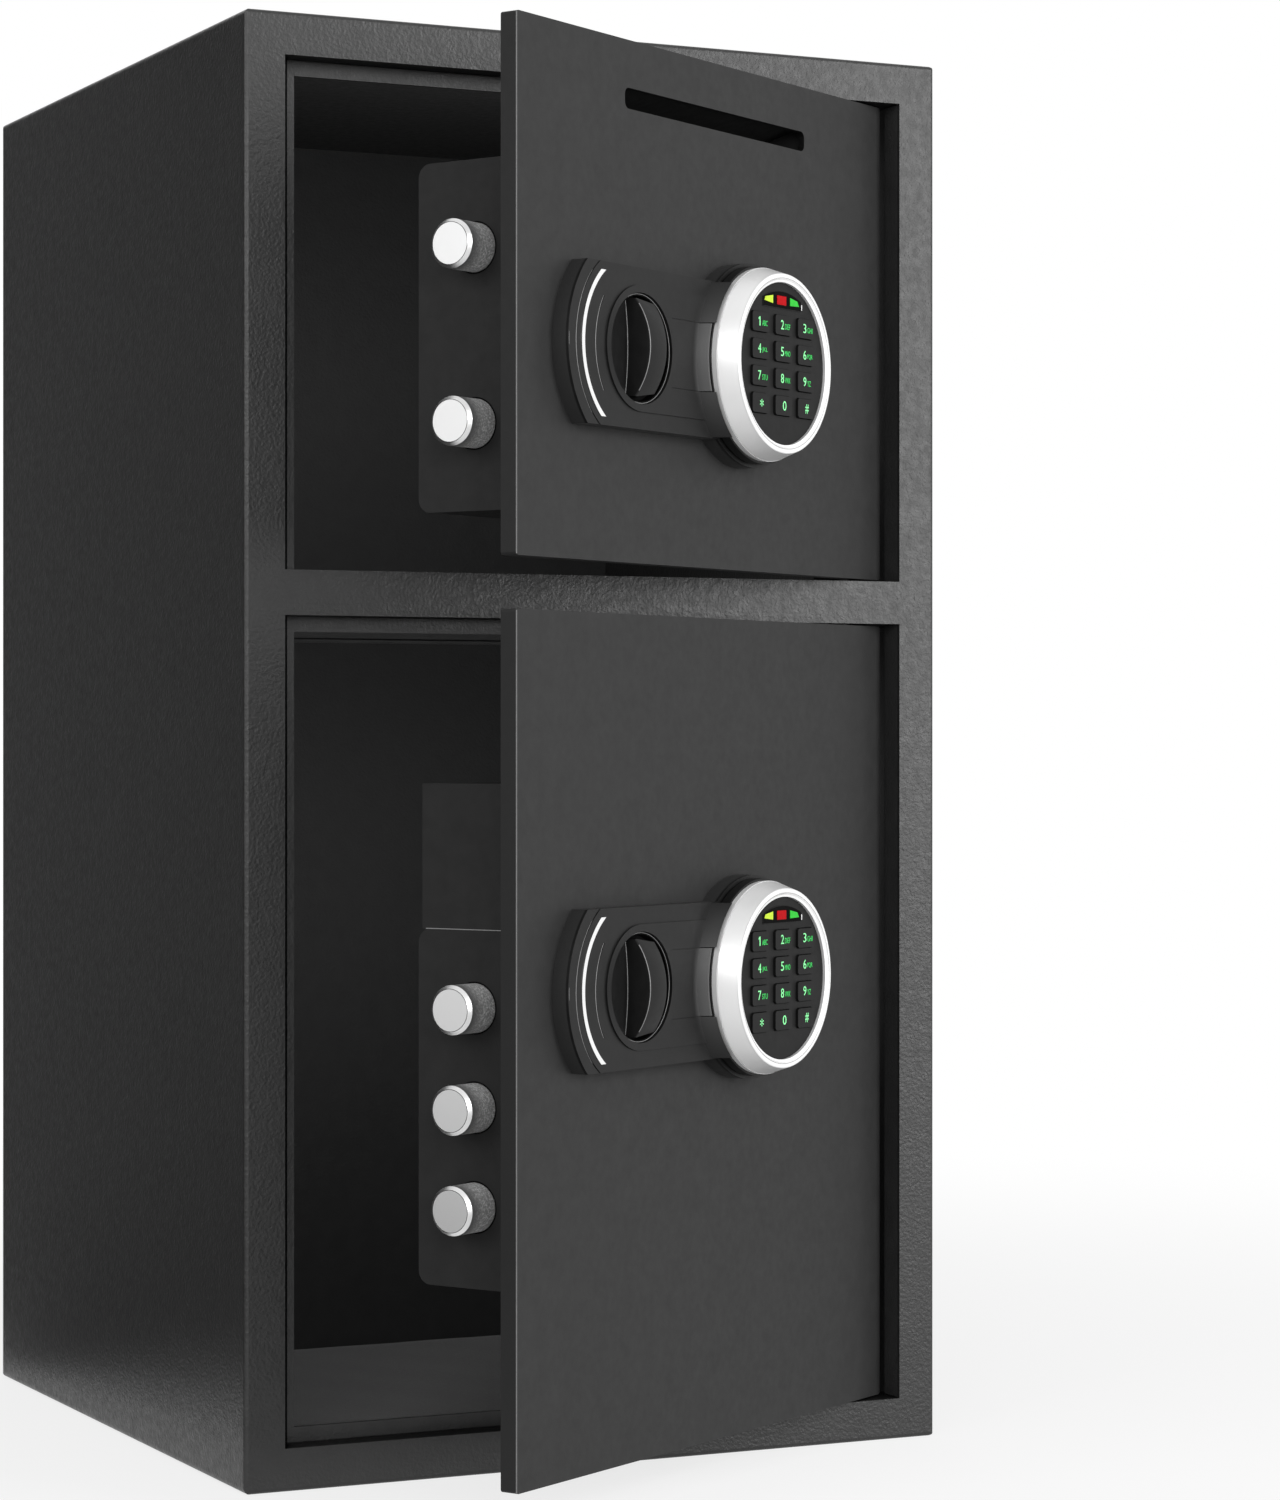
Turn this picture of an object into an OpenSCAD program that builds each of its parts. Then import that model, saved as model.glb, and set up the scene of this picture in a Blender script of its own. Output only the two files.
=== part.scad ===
// Floor-standing deposit safe with two hinged doors, one above the other.
// Origin at the centre of the base's footprint, X to the right, Y to the back, Z up, millimetres.
// Each door is drawn shut in its own frame: u runs from the free edge to the hinge side,
// depth runs into the cabinet from the door's front face, height runs out of it towards the user.

/* [Cabinet] */
// Overall width
body_w = 350; // [340:1:400]
// Overall depth
body_d = 350; // [300:1:450]
// Overall height
body_h = 650; // [640:1:760]
// Thickness of the folded body sheet
sheet_t = 2; // [1.5:0.25:3]
// Width of the frame band round the openings
frame_band = 19; // [17:1:26]
// Height of the bar between the two openings
mid_bar_h = 20; // [18:1:30]
// Height of the upper opening
upper_open_h = 226; // [222:1:232]
// Fold radius of the edges that run front to back
fold_r = 3; // [2:0.5:5]
// Radius of the other outer edges
edge_r = 2; // [1:0.5:3]
// Depth from the front plane to the stop lip
recess_d = 12; // [11:1:16]
// Width of the stop lip at the bolts' side
lip_w = 9; // [7:0.5:9.5]
// Height of the stop lip's bars at the top of both openings and the foot of the lower one
lip_bar = 7; // [6:0.5:9.5]
// Depth of the lip's return, which the bolts close behind
lip_return = 17; // [8:1:17]
// Thickness of the felt floor mats
mat_t = 3; // [2:0.5:5]
// Gap between the mats and the walls
mat_gap = 3; // [2:0.5:8]
// Gauge of the divider shelf
shelf_t = 2; // [1.5:0.5:4]
// Height of the flanges that carry the shelf
shelf_flange = 12; // [8:1:20]

/* [Anchors] */
// Diameter of the anchor holes
anchor_d = 12; // [8:1:14]
// Distance between the floor anchors, both ways
floor_pitch = 200; // [150:5:240]
// Distance between the wall anchors
wall_pitch = 200; // [120:5:240]
// Height of the wall anchors above the base
wall_anchor_z = 520; // [440:5:560]
// Diameter of the clearance holes in the mat
mat_hole_d = 18; // [16:1:24]

/* [Doors] */
// Depth of the door's folded edge
door_t = 8; // [6:0.5:9]
// Thickness of the door's front plate
skin_t = 3; // [2:0.5:4]
// Thickness of the door's folded edge
fold_t = 2; // [1.5:0.5:3]
// Corner radius of the door
door_r = 1.5; // [1:0.5:2]
// Gap at the free edge, top and bottom
door_gap = 1; // [1:0.25:2]
// Gap at the hinge side, which the door's tail swings through
hinge_gap = 10; // [8:0.5:14]
// How far the shut door lies behind the front plane
door_inset = 0.5; // [0:0.25:1]
// Angle to which both doors stand open
rest_open = 30; // [10:1:60]

/* [Hinges] */
// Distance from the door's hinge end to the pin
hinge_inset = 15; // [14:0.5:17]
// Distance from the front face back to the pin
hinge_setback = 14; // [13:0.5:15]
// Pin diameter
pin_d = 6; // [5:0.5:7]
// Length of pin inside the hinge block
pin_in = 14; // [10:1:18]
// Height of the hinge blocks
block_h = 20; // [19:1:30]
// Thickness of steel round the pin in the block
block_wall = 5; // [4:0.5:5.5]
// Diameter of the pin's head and of the washer
pin_head_d = 12; // [9:0.5:12]
// Thickness of the pin's head
pin_head_t = 2; // [1.5:0.5:3]
// Washer thickness
washer_t = 0.8; // [0.5:0.1:0.9]
// Radial clearance of every running fit
run_gap = 0.05; // [0.02:0.01:0.1]

/* [Deposit slot] */
// Length of the slot
slot_w = 150; // [100:1:160]
// Height of the slot
slot_h = 9; // [6:0.5:10]
// Corner radius of the slot
slot_r = 3; // [1:0.5:4]
// Distance from the door's top edge to the slot's middle
slot_drop = 25; // [24:1:26]
// Place of the slot's middle from the free edge
slot_u = 156; // [150:1:160]
// Depth of the chute behind the slot
chute_d = 58; // [40:1:60]
// Fall of the chute from front to back
chute_fall = 17; // [8:1:18]
// Clear height of the chute
chute_h = 14; // [12:0.5:15]
// Gauge of the chute's sheet
chute_t = 1.5; // [1:0.25:2]
// Number of comb teeth on the chute's hood
comb_teeth = 12; // [6:1:16]

/* [Lock boxes] */
// Distance from the door's free edge to the lock box
box_u = 30; // [28:1:34]
// Length of the lock box along the door
box_len = 185; // [170:1:200]
// Depth of the lock box from the front face
box_d = 72; // [66:1:76]
// Gauge of the lock box
box_t = 1.5; // [1:0.25:2]
// Rounding of the lock box's rear edges
box_r = 6; // [3:0.5:10]
// Top of the upper lock box above its lock's middle
upper_box_up = 79; // [70:1:80]
// Bottom of the upper lock box below its lock's middle
upper_box_down = 70; // [60:1:72]
// Top of the lower lock box above its lock's middle
lower_box_up = 25; // [24:1:40]
// Bottom of the lower lock box below its lock's middle
lower_box_down = 127; // [118:1:135]
// Height of the battery box above the lower lock box
battery_h = 62; // [50:1:70]
// Depth of the battery box from the front face
battery_d = 70; // [60:1:72]
// Width of the fixing flanges
flange_w = 12; // [12:1:14]
// Diameter of the cover screws
screw_d = 4; // [3:0.5:5]
// Head diameter of the cover screws
screw_head_d = 8; // [6:0.5:9]

/* [Bolts] */
// Bolt diameter
bolt_d = 21; // [18:0.5:22]
// Depth of the bolts from the front face
bolt_depth = 42.5; // [41:0.5:44]
// Travel of the bolts
bolt_throw = 12; // [10:0.5:12]
// How far the drawn-back bolts stand out of the lock box
bolt_proud = 18; // [14:0.5:18]
// Bevel round a bolt's end
bolt_bevel = 1.5; // [0.5:0.25:2]
// Heights of the upper bolts from the lock's middle
upper_bolt_z = [41.5, -33];
// Heights of the lower bolts from the lock's middle
lower_bolt_z = [-8, -50.2, -92.4];

/* [Lock unit] */
// Distance from the upper door's top edge to its lock's middle
upper_lock_drop = 133; // [130:1:134]
// Distance from the lower door's top edge to its lock's middle
lower_lock_drop = 159.5; // [155:0.5:164]
// Left end of the lock plate from the free edge
plate_u0 = 26; // [24:0.5:28]
// Height of the lock plate
plate_h = 69; // [66:0.5:72]
// Thickness of the lock plate
plate_t = 8; // [7:0.25:10]
// Radius of the plate's left end
plate_arc_r = 48; // [44:1:56]
// Height of the raised field round the knob
boss_t = 0.8; // [0.4:0.1:1.2]
// Half height of the raised field
boss_r = 27; // [26:0.25:28]
// Radius of the bright accent strip
strip_r = 39; // [38:0.5:40]
// Width of the accent strip
strip_w = 2.4; // [1.5:0.1:3]
// Depth of the accent strip's channel
strip_deep = 0.8; // [0.5:0.1:1.2]

/* [Knob] */
// Place of the knob from the free edge
knob_u = 81; // [79:0.5:83]
// Knob diameter
knob_d = 46.8; // [44:0.2:50]
// Gap between the knob and its well
knob_gap = 0.4; // [0.2:0.1:0.8]
// Thickness of plate under the knob's well
well_floor = 2; // [1:0.25:2.5]
// Thickness of the knob's grip fin
fin_t = 13.6; // [9:0.2:14]
// Height of the fin's crest above the door
fin_top = 17.5; // [13:0.5:20]
// Height of the fin's ends above the door
fin_end = 9; // [5:0.5:10]
// Spindle diameter
spindle_d = 8; // [6:0.5:8]
// Turn of the knob from open to locked
knob_turn = 60; // [60:1:64]

/* [Keypad] */
// Place of the keypad's middle from the free edge
keypad_u = 172.5; // [170:0.5:175]
// Diameter of the plate's round end
base_d = 91; // [90:1:96]
// Diameter of the sliding housing
housing_d = 88; // [86:0.5:88]
// Diameter of the bright bezel at its foot
bezel_d = 86; // [84:0.5:86]
// Diameter of the bezel's front
bezel_front_d = 80; // [79:0.5:82]
// Diameter of the key face
face_d = 71.8; // [71.4:0.2:72.2]
// Height of the bezel's foot above the door
bezel_foot = 13.4; // [13:0.2:14]
// Height of the bezel's front above the door
bezel_top = 25.2; // [25:0.2:27]
// Width of the sloped collar beside the keypad
collar_w = 4; // [3:0.5:6]
// Height of the collar above the door
collar_top = 15; // [13:0.5:15.5]
// Half height of the shallow channel from the knob to the keypad
channel_half = 15; // [13:0.5:17]
// Travel of the sliding keypad
keypad_travel = 40; // [30:1:40]
// Height of the slide rails above and below the middle
rail_z = 24; // [23:0.5:25]
// Key width
key_w = 14; // [11:0.2:14.4]
// Key height
key_h = 8.6; // [7:0.2:9]
// Distance between key columns
key_pitch_u = 19.4; // [17:0.1:19.6]
// Distance between key rows
key_pitch_z = 11.9; // [10.8:0.1:12]
// Height of the key tops over the key face
key_proud = 1.1; // [0.9:0.1:2]
// Key travel
key_travel = 0.8; // [0.4:0.1:0.8]
// Gap round a key in the face
key_gap = 0.3; // [0.15:0.05:0.4]
// Distance from the keypad's middle to the key cylinder
plug_off = 24.5; // [24:0.5:25]
// Diameter of the key cylinder's plug
plug_d = 9; // [8:0.5:10]

/* [Hidden] */
$fn = 64;
over = 1;                       // how far a cut runs past the face that it opens
KEYS = ["1", "2", "3", "4", "5", "6", "7", "8", "9", "star", "0", "hash"];

// Finishes, as the photograph shows them
powder_grey = [0.24, 0.24, 0.25];
door_grey = [0.22, 0.22, 0.23];
box_grey = [0.17, 0.17, 0.18];
lining_black = [0.07, 0.07, 0.08];
felt_grey = [0.16, 0.16, 0.16];
plastic_black = [0.13, 0.13, 0.13];
bright = [0.82, 0.83, 0.84];
zinc = [0.66, 0.67, 0.69];
brass = [0.74, 0.62, 0.34];

// Openings in the front
front_y = -body_d / 2;
open_x0 = -body_w / 2 + frame_band;
open_x1 = body_w / 2 - frame_band;
upper_z1 = body_h - frame_band;
upper_z0 = upper_z1 - upper_open_h;
lower_z1 = upper_z0 - mid_bar_h;
lower_z0 = frame_band;
lip_y = front_y + recess_d;
jamb_y = lip_y + sheet_t;

// Doors and their hinge axis
door_x0 = open_x0 + door_gap;
door_w = open_x1 - hinge_gap - door_x0;
hinge_u = door_w - hinge_inset;
hinge_x = door_x0 + hinge_u;
hinge_y = front_y + door_inset + hinge_setback;
pin_r = pin_d / 2;
swing_r = norm([hinge_inset, hinge_setback]);
lip_end_x = hinge_x - swing_r - 5;
block_back = hinge_setback + pin_r + block_wall;
upper_door_z = [upper_z0 + door_gap, upper_z1 - door_gap];
lower_door_z = [lower_z0 + door_gap, lower_z1 - door_gap];
upper_lock_z = upper_door_z[1] - upper_lock_drop;
lower_lock_z = lower_door_z[1] - lower_lock_drop;
slot_z = upper_door_z[1] - slot_drop;

// Floors
shelf_z = (upper_z0 + lower_z1) / 2;
back_in = 1.5;
back_y = body_d / 2 - back_in - sheet_t;

// Lock boxes, from the lock's middle
box_u1 = box_u + box_len;
upper_box_z = [-upper_box_down, upper_box_up];
lower_box_z = [-lower_box_down, lower_box_up];
battery_z = [lower_box_up, lower_box_up + battery_h];
screw_in = 16;                  // from a box's end to its nearest screw
upper_screw_z = [-upper_box_down - flange_w / 2, upper_box_up + flange_w / 2];
lower_screw_z = [-lower_box_down - flange_w / 2, battery_z[1] + flange_w / 2];

// Boltwork: the knob's cam pin swings evenly to both sides of its top place
cam_r = bolt_throw / (2 * sin(knob_turn / 2));
cam_front = 12;                 // depths behind the front face
cam_t = 3;
cam_pin_r = 2;
cam_disc_r = cam_r + cam_pin_r + 2;
slide_front = cam_front + cam_t + 1;
slide_t = 3;
slide_slack = 0.2;
slide_z = [-cam_disc_r - 0.5, cam_r + cam_pin_r + 6];
rest_pin_u = knob_u + cam_r * sin(knob_turn / 2);
rest_pin_z = cam_r * cos(knob_turn / 2);
end_plate_t = 4;
end_plate_u = knob_u - 13;      // face that the bolts end on
bolt_tip_u = box_u - bolt_proud;

// Solenoid that blocks the slide
plunger_r = 2.5;
plunger_u = rest_pin_u - 1;
plunger_depth = slide_front + plunger_r;
plunger_gap = 0.3;
plunger_travel = 4;
coil_off = 4.5;
coil_h = 24;
coil_half = 10;
coil_back = plunger_depth + 8;

// Lock plate and knob, heights above the door
strip_mid = plate_u0 + 11 + strip_r;
strip_half = plate_h / 2 - 3.5;
ridge_in = 5.8;                 // from the plate's left end to the first fine line
ridge_out = 7.5;                // from the raised field to the second
ridge_half = 20;
line_w = 0.7;
line_deep = 0.4;
plug_u = keypad_u - plug_off;
boss_top = plate_t + boss_t;
well_r = knob_d / 2 + knob_gap;
knob_foot = well_floor + 0.3;
knob_floor = knob_foot + 2.2;
knob_rim = plate_t - 0.4;
fin_half = knob_d / 2 - 1.6;
fin_rise = fin_top - fin_end;
fin_arc_r = (fin_half * fin_half + fin_rise * fin_rise) / (2 * fin_rise);

// Sliding keypad
housing_foot = boss_top + 0.3;
rail_neck = 6;
rail_foot = 10;
rail_foot_t = 1.6;
rail_gap = 0.3;
rail_floor = 2.9;
rail_u = [keypad_u - 35, keypad_u - 10];
wall_r = bezel_d / 2 - 3;
face_seat = bezel_top - 4.5;
face_top = bezel_top - 2.1;
rim_h = 2.4;                    // height of the bezel's foot rim
nest_r = housing_d / 2 + 0.4;   // inside of the collar
channel_top = collar_top - 2;
seat_r = face_d / 2 - 1;
key_skirt_top = face_seat - 0.3;
key_skirt_t = 1.3;
mat_top = key_skirt_top - key_skirt_t - key_travel - 0.1;
key_skirt_w = key_w - 4;
key_skirt_h = key_h + 1.6;
keys_z = -0.8;                  // the block of keys sits a little below the middle
window_w = 32.6;
window_z = 24.4;
window_h = 7.8;

// Flat shapes

module rounded_rect(x0, x1, y0, y1, r) {
    translate([x0 + r, y0]) square([x1 - x0 - 2 * r, y1 - y0]);
    translate([x0, y0 + r]) square([x1 - x0, y1 - y0 - 2 * r]);
    for (x = [x0 + r, x1 - r], y = [y0 + r, y1 - r]) translate([x, y]) circle(r = r);
}

// A band of a ring, cut off above and below
module arc_band(middle, r, w, half_h) {
    intersection() {
        translate([middle, 0]) difference() {
            circle(r = r + w / 2);
            circle(r = r - w / 2);
        }
        translate([middle - r - w, -half_h]) square([r, 2 * half_h]);
    }
}

// Places in a door's frame

// Swings a shut door's pieces to the angle at which they stand
module on_door() {
    translate([hinge_x, hinge_y, 0]) rotate([0, 0, rest_open])
        translate([-hinge_u, -hinge_setback, 0]) children();
}

// Puts a lock's pieces at the height of the upper or the lower lock
module upper_lock() {
    on_door() translate([0, 0, upper_lock_z]) children();
}

module lower_lock() {
    on_door() translate([0, 0, lower_lock_z]) children();
}

// A flat shape in u and z, from height h0 to h1 above the door's face
module out(h0, h1) {
    translate([0, -h0, 0]) rotate([90, 0, 0]) linear_extrude(height = h1 - h0) children();
}

// The same, from depth d0 to d1 behind it
module into(d0, d1) {
    out(-d1, -d0) children();
}

// A round boss or hole square to the door
module round_out(u, z, r, h0, h1) {
    translate([u, -h0, z]) rotate([90, 0, 0]) cylinder(r = r, h = h1 - h0);
}

// A round bar along the door
module bar(u0, u1, depth, z, r) {
    translate([u0, depth, z]) rotate([0, 90, 0]) cylinder(r = r, h = u1 - u0);
}

// A block between two corners
module block(u, d, z) {
    translate([u[0], d[0], z[0]]) cube([u[1] - u[0], d[1] - d[0], z[1] - z[0]]);
}

// A flat shape in depth and z, drawn out along u
module along(u0, u1) {
    translate([u0, 0, 0]) rotate([90, 0, 90]) linear_extrude(height = u1 - u0) children();
}

// Cabinet

module body_block() {
    intersection() {
        translate([0, body_d / 2, 0]) rotate([90, 0, 0]) linear_extrude(height = body_d)
            rounded_rect(-body_w / 2, body_w / 2, 0, body_h, fold_r);
        linear_extrude(height = body_h)
            rounded_rect(-body_w / 2, body_w / 2, -body_d / 2, body_d / 2, edge_r);
        along(-body_w / 2, body_w / 2) rounded_rect(-body_d / 2, body_d / 2, 0, body_h, edge_r);
    }
}

module floor_holes(r, z0, z1) {
    for (x = [-1, 1], y = [-1, 1])
        translate([x * floor_pitch / 2, y * floor_pitch / 2, z0]) cylinder(r = r, h = z1 - z0);
}

module body_shell() {
    inner = body_w / 2 - sheet_t;
    color(powder_grey) difference() {
        body_block();
        block([-inner, inner], [front_y + sheet_t, body_d / 2 + over], [sheet_t, body_h - sheet_t]);
        block([open_x0, open_x1], [front_y - over, front_y + sheet_t + over], [upper_z0, upper_z1]);
        block([open_x0, open_x1], [front_y - over, front_y + sheet_t + over], [lower_z0, lower_z1]);
        floor_holes(anchor_d / 2, -over, sheet_t + over);
    }
}

module back_panel() {
    inner = body_w / 2 - sheet_t;
    color(powder_grey) difference() {
        block([-inner, inner], [back_y, back_y + sheet_t], [sheet_t, body_h - sheet_t]);
        for (x = [-1, 1]) translate([x * wall_pitch / 2, back_y - over, wall_anchor_z])
            rotate([-90, 0, 0]) cylinder(d = anchor_d, h = sheet_t + 2 * over);
    }
}

// The hinge pins' holes, through the top and the foot of one lining
module lining_pin_holes(z0, z1) {
    for (z = [z0 - sheet_t - over, z1 - over]) translate([hinge_x, hinge_y, z])
        cylinder(r = pin_r + run_gap, h = sheet_t + 2 * over);
}

// One opening's lining with its stop lip, the lip's return and the two hinge ears;
// foot_bar is the height of the lip's bar at its foot, or 0 for none
module lining(z0, z1, foot_bar) {
    lip_x = open_x0 + lip_w;
    ear_u = [hinge_x - pin_head_d, open_x1 + sheet_t];
    ear_d = [jamb_y, hinge_y + pin_head_d / 2 + 3];
    difference() {
        union() {
            difference() {
                block([open_x0 - sheet_t, open_x1 + sheet_t], [front_y + sheet_t, jamb_y],
                      [z0 - sheet_t, z1 + sheet_t]);
                block([open_x0, open_x1], [front_y, jamb_y + over], [z0, z1]);
            }
            block([open_x0, lip_x], [lip_y, jamb_y], [z0, z1]);
            block([open_x0, lip_end_x], [lip_y, jamb_y], [z1 - lip_bar, z1]);
            if (foot_bar > 0) block([open_x0, lip_end_x], [lip_y, jamb_y], [z0, z0 + foot_bar]);
            block([lip_x - sheet_t, lip_x], [lip_y, jamb_y + lip_return],
                  [z0 + foot_bar, z1 - lip_bar]);
            block(ear_u, ear_d, [z1, z1 + sheet_t]);
            block(ear_u, ear_d, [z0 - sheet_t, z0]);
        }
        lining_pin_holes(z0, z1);
    }
}

module door_frames() {
    color(lining_black) {
        lining(upper_z0, upper_z1, 0);
        lining(lower_z0, lower_z1, lip_bar);
    }
}

module divider_shelf() {
    inner = body_w / 2 - sheet_t;
    color(lining_black) {
        block([-inner, inner], [front_y + sheet_t, back_y], [shelf_z - shelf_t / 2, shelf_z + shelf_t / 2]);
        for (x = [-inner, inner - shelf_t])
            block([x, x + shelf_t], [jamb_y, back_y], [shelf_z - shelf_flange, shelf_z]);
        block([-inner, inner], [back_y - shelf_t, back_y], [shelf_z - shelf_flange, shelf_z]);
    }
}

// A pin with its head behind the lining; up is 1 at the top of a door and -1 at its foot
module hinge_pin(z, up) {
    translate([hinge_x, hinge_y, z]) mirror([0, 0, up < 0 ? 1 : 0]) {
        translate([0, 0, sheet_t]) cylinder(d = pin_head_d, h = pin_head_t);
        translate([0, 0, -door_gap - pin_in]) cylinder(r = pin_r, h = door_gap + pin_in + sheet_t + over);
    }
}

module hinge_washer(z, up) {
    slack = (door_gap - washer_t) / 2;
    translate([hinge_x, hinge_y, z]) mirror([0, 0, up < 0 ? 1 : 0])
        translate([0, 0, -slack - washer_t]) difference() {
            cylinder(d = pin_head_d, h = washer_t);
            translate([0, 0, -over]) cylinder(r = pin_r + run_gap, h = washer_t + 2 * over);
        }
}

module hinge_pins() {
    color(zinc) for (place = [[upper_z1, 1], [upper_z0, -1], [lower_z1, 1], [lower_z0, -1]]) {
        hinge_pin(place[0], place[1]);
        hinge_washer(place[0], place[1]);
    }
}

module floor_mat(z) {
    half = body_w / 2 - sheet_t - mat_gap;
    translate([0, 0, z]) linear_extrude(height = mat_t)
        rounded_rect(-half, half, jamb_y + lip_return + mat_gap, back_y - mat_gap, 3);
}

module floor_mats() {
    color(felt_grey) {
        floor_mat(shelf_z + shelf_t / 2);
        difference() {
            floor_mat(sheet_t);
            floor_holes(mat_hole_d / 2, 0, sheet_t + mat_t + over);
        }
    }
}

// Doors

// Flat outline of a door between two heights
module door_pan(z) {
    difference() {
        into(0, door_t) rounded_rect(0, door_w, z[0], z[1], door_r);
        block([fold_t, door_w - fold_t], [skin_t, door_t + over], [z[0] + fold_t, z[1] - fold_t]);
    }
}

module hinge_blocks(z) {
    u = [hinge_u - pin_r - block_wall - 1, door_w - fold_t];
    block(u, [skin_t, block_back], [z[0], z[0] + block_h]);
    block(u, [skin_t, block_back], [z[1] - block_h, z[1]]);
}

module hinge_bores(z) {
    for (z0 = [z[0] - over, z[1] - pin_in - over]) translate([hinge_u, hinge_setback, z0])
        cylinder(r = pin_r + run_gap, h = pin_in + 2 * over);
}

// Holes for the spindle, the key cylinder and the keypad's lead
module lock_holes(z) {
    round_out(knob_u, z, spindle_d / 2 + 0.5, -skin_t - over, over);
    round_out(plug_u, z, plug_d / 2 + 0.5, -skin_t - over, over);
    round_out(keypad_u + 20, z, 5, -skin_t - over, over);
}

// Blind holes for the cover screws
module screw_holes(z, screw_z) {
    for (place = screw_places(screw_z))
        round_out(place[0], z + place[1], screw_d / 2 + run_gap, -skin_t - over, -0.8);
}

function screw_places(screw_z) = [for (u = [box_u + screw_in, box_u1 - screw_in], z = screw_z) [u, z]];

module door_panel(z, lock_z, screw_z) {
    color(door_grey) difference() {
        union() {
            door_pan(z);
            hinge_blocks(z);
        }
        hinge_bores(z);
        lock_holes(lock_z);
        screw_holes(lock_z, screw_z);
        children();
    }
}

module upper_door_panel() {
    on_door() door_panel(upper_door_z, upper_lock_z, upper_screw_z) {
        into(-over, skin_t + over)
            rounded_rect(slot_u - slot_w / 2, slot_u + slot_w / 2, slot_z - slot_h / 2, slot_z + slot_h / 2,
                         slot_r);
    }
}

module lower_door_panel() {
    on_door() door_panel(lower_door_z, lower_lock_z, lower_screw_z);
}

// A sheet that slopes back and down from the front plate
module chute_sheet(z, length) {
    fall = chute_fall * length / chute_d;
    polygon([[skin_t, z], [skin_t + length, z - fall],
             [skin_t + length, z - fall - chute_t], [skin_t, z - chute_t]]);
}

module deposit_chute() {
    u0 = slot_u - slot_w / 2 - 5;
    u1 = slot_u + slot_w / 2 + 5;
    floor_z = slot_z - chute_h / 2 + 0.5;
    hood_z = floor_z + chute_h + chute_t;
    hood_len = chute_d - 10;
    pitch = (u1 - u0 - 2 * chute_t) / comb_teeth;
    color(box_grey) union() {
        along(u0, u1) chute_sheet(floor_z, chute_d);
        along(u0, u1) chute_sheet(hood_z, hood_len);
        for (i = [0 : comb_teeth - 1])
            along(u0 + chute_t + (i + 0.25) * pitch, u0 + chute_t + (i + 0.75) * pitch)
                chute_sheet(hood_z, hood_len + 5);
        for (u = [u0, u1 - chute_t]) along(u, u + chute_t)
            polygon([[skin_t, hood_z], [skin_t + hood_len, hood_z - chute_fall * hood_len / chute_d],
                     [skin_t + chute_d, floor_z - chute_fall - chute_t], [skin_t, floor_z - chute_t]]);
        block([u0, u1], [skin_t, skin_t + chute_t], [hood_z - chute_t, hood_z + 6]);
        block([u0, u1], [skin_t, skin_t + chute_t], [floor_z - chute_t - 6, floor_z]);
    }
}

// Lock boxes

module rear_rounded(d0, d1, z, r) {
    translate([d0, z[0]]) square([d1 - d0 - r, z[1] - z[0]]);
    translate([d0, z[0] + r]) square([d1 - d0, z[1] - z[0] - 2 * r]);
    for (y = [z[0] + r, z[1] - r]) translate([d1 - r, y]) circle(r = r);
}

// A fixing flange on the door's inner face, from the box's edge outwards
module flange(z_edge, side) {
    z = side > 0 ? [z_edge - box_t, z_edge + flange_w] : [z_edge - flange_w, z_edge + box_t];
    into(skin_t, skin_t + box_t) rounded_rect(box_u + 6, box_u1 - 6, z[0], z[1], 1);
}

module flange_holes(screw_z) {
    for (place = screw_places(screw_z))
        round_out(place[0], place[1], screw_d / 2 + run_gap, -skin_t - box_t - over, -skin_t + over);
}

module lock_box(z, flanges, screw_z, bolt_z) {
    color(box_grey) difference() {
        union() {
            along(box_u, box_u1) rear_rounded(skin_t, box_d, z, box_r);
            for (side = flanges) flange(side > 0 ? z[1] : z[0], side);
        }
        along(box_u + box_t, box_u1 - box_t)
            rear_rounded(skin_t - over, box_d - box_t, [z[0] + box_t, z[1] - box_t], box_r - box_t);
        for (bz = bolt_z) bar(box_u - over, box_u + box_t + over, bolt_depth, bz, bolt_d / 2 + run_gap);
        flange_holes(screw_z);
    }
}

module battery_box() {
    color(box_grey) difference() {
        union() {
            block([box_u, box_u1], [skin_t, battery_d], battery_z);
            flange(battery_z[1], 1);
        }
        block([box_u + box_t, box_u1 - box_t], [skin_t - over, battery_d - box_t],
              [battery_z[0] + box_t, battery_z[1] - box_t]);
        flange_holes(lower_screw_z);
    }
}

module cover_screws(screw_z) {
    seat = skin_t + box_t;
    color(zinc) for (place = screw_places(screw_z)) {
        round_out(place[0], place[1], screw_d / 2, -seat - 0.5, -1.2);
        difference() {
            round_out(place[0], place[1], screw_head_d / 2, -seat - 2.2, -seat);
            for (w = [[3.6, 0.9], [0.9, 3.6]])
                block([place[0] - w[0] / 2, place[0] + w[0] / 2], [seat + 1.2, seat + 2.2 + over],
                      [place[1] - w[1] / 2, place[1] + w[1] / 2]);
        }
    }
}

// Boltwork

module bolt_carriage(bolt_z) {
    slot_half_u = cam_pin_r + slide_slack;
    low = min(min(bolt_z) - bolt_d / 2 - 3, slide_z[0]);
    high = max(max(bolt_z) + bolt_d / 2 + 3, slide_z[1]);
    pin_high = cam_r + cam_pin_r + 0.8;
    pin_low = rest_pin_z - cam_pin_r - 0.8;
    color(zinc) difference() {
        union() {
            block([end_plate_u, end_plate_u + end_plate_t],
                  [slide_front, bolt_depth + bolt_d / 2 + 4], [low, high]);
            block([end_plate_u, rest_pin_u + 6], [slide_front, slide_front + slide_t], slide_z);
        }
        block([rest_pin_u - slot_half_u, rest_pin_u + slot_half_u],
              [slide_front - over, slide_front + slide_t + over], [pin_low, pin_high]);
    }
}

module bolts(bolt_z) {
    color(bright) for (z = bolt_z) {
        bar(bolt_tip_u + bolt_bevel, end_plate_u, bolt_depth, z, bolt_d / 2);
        translate([bolt_tip_u, bolt_depth, z]) rotate([0, 90, 0])
            cylinder(r1 = bolt_d / 2 - bolt_bevel, r2 = bolt_d / 2, h = bolt_bevel);
    }
}

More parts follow.
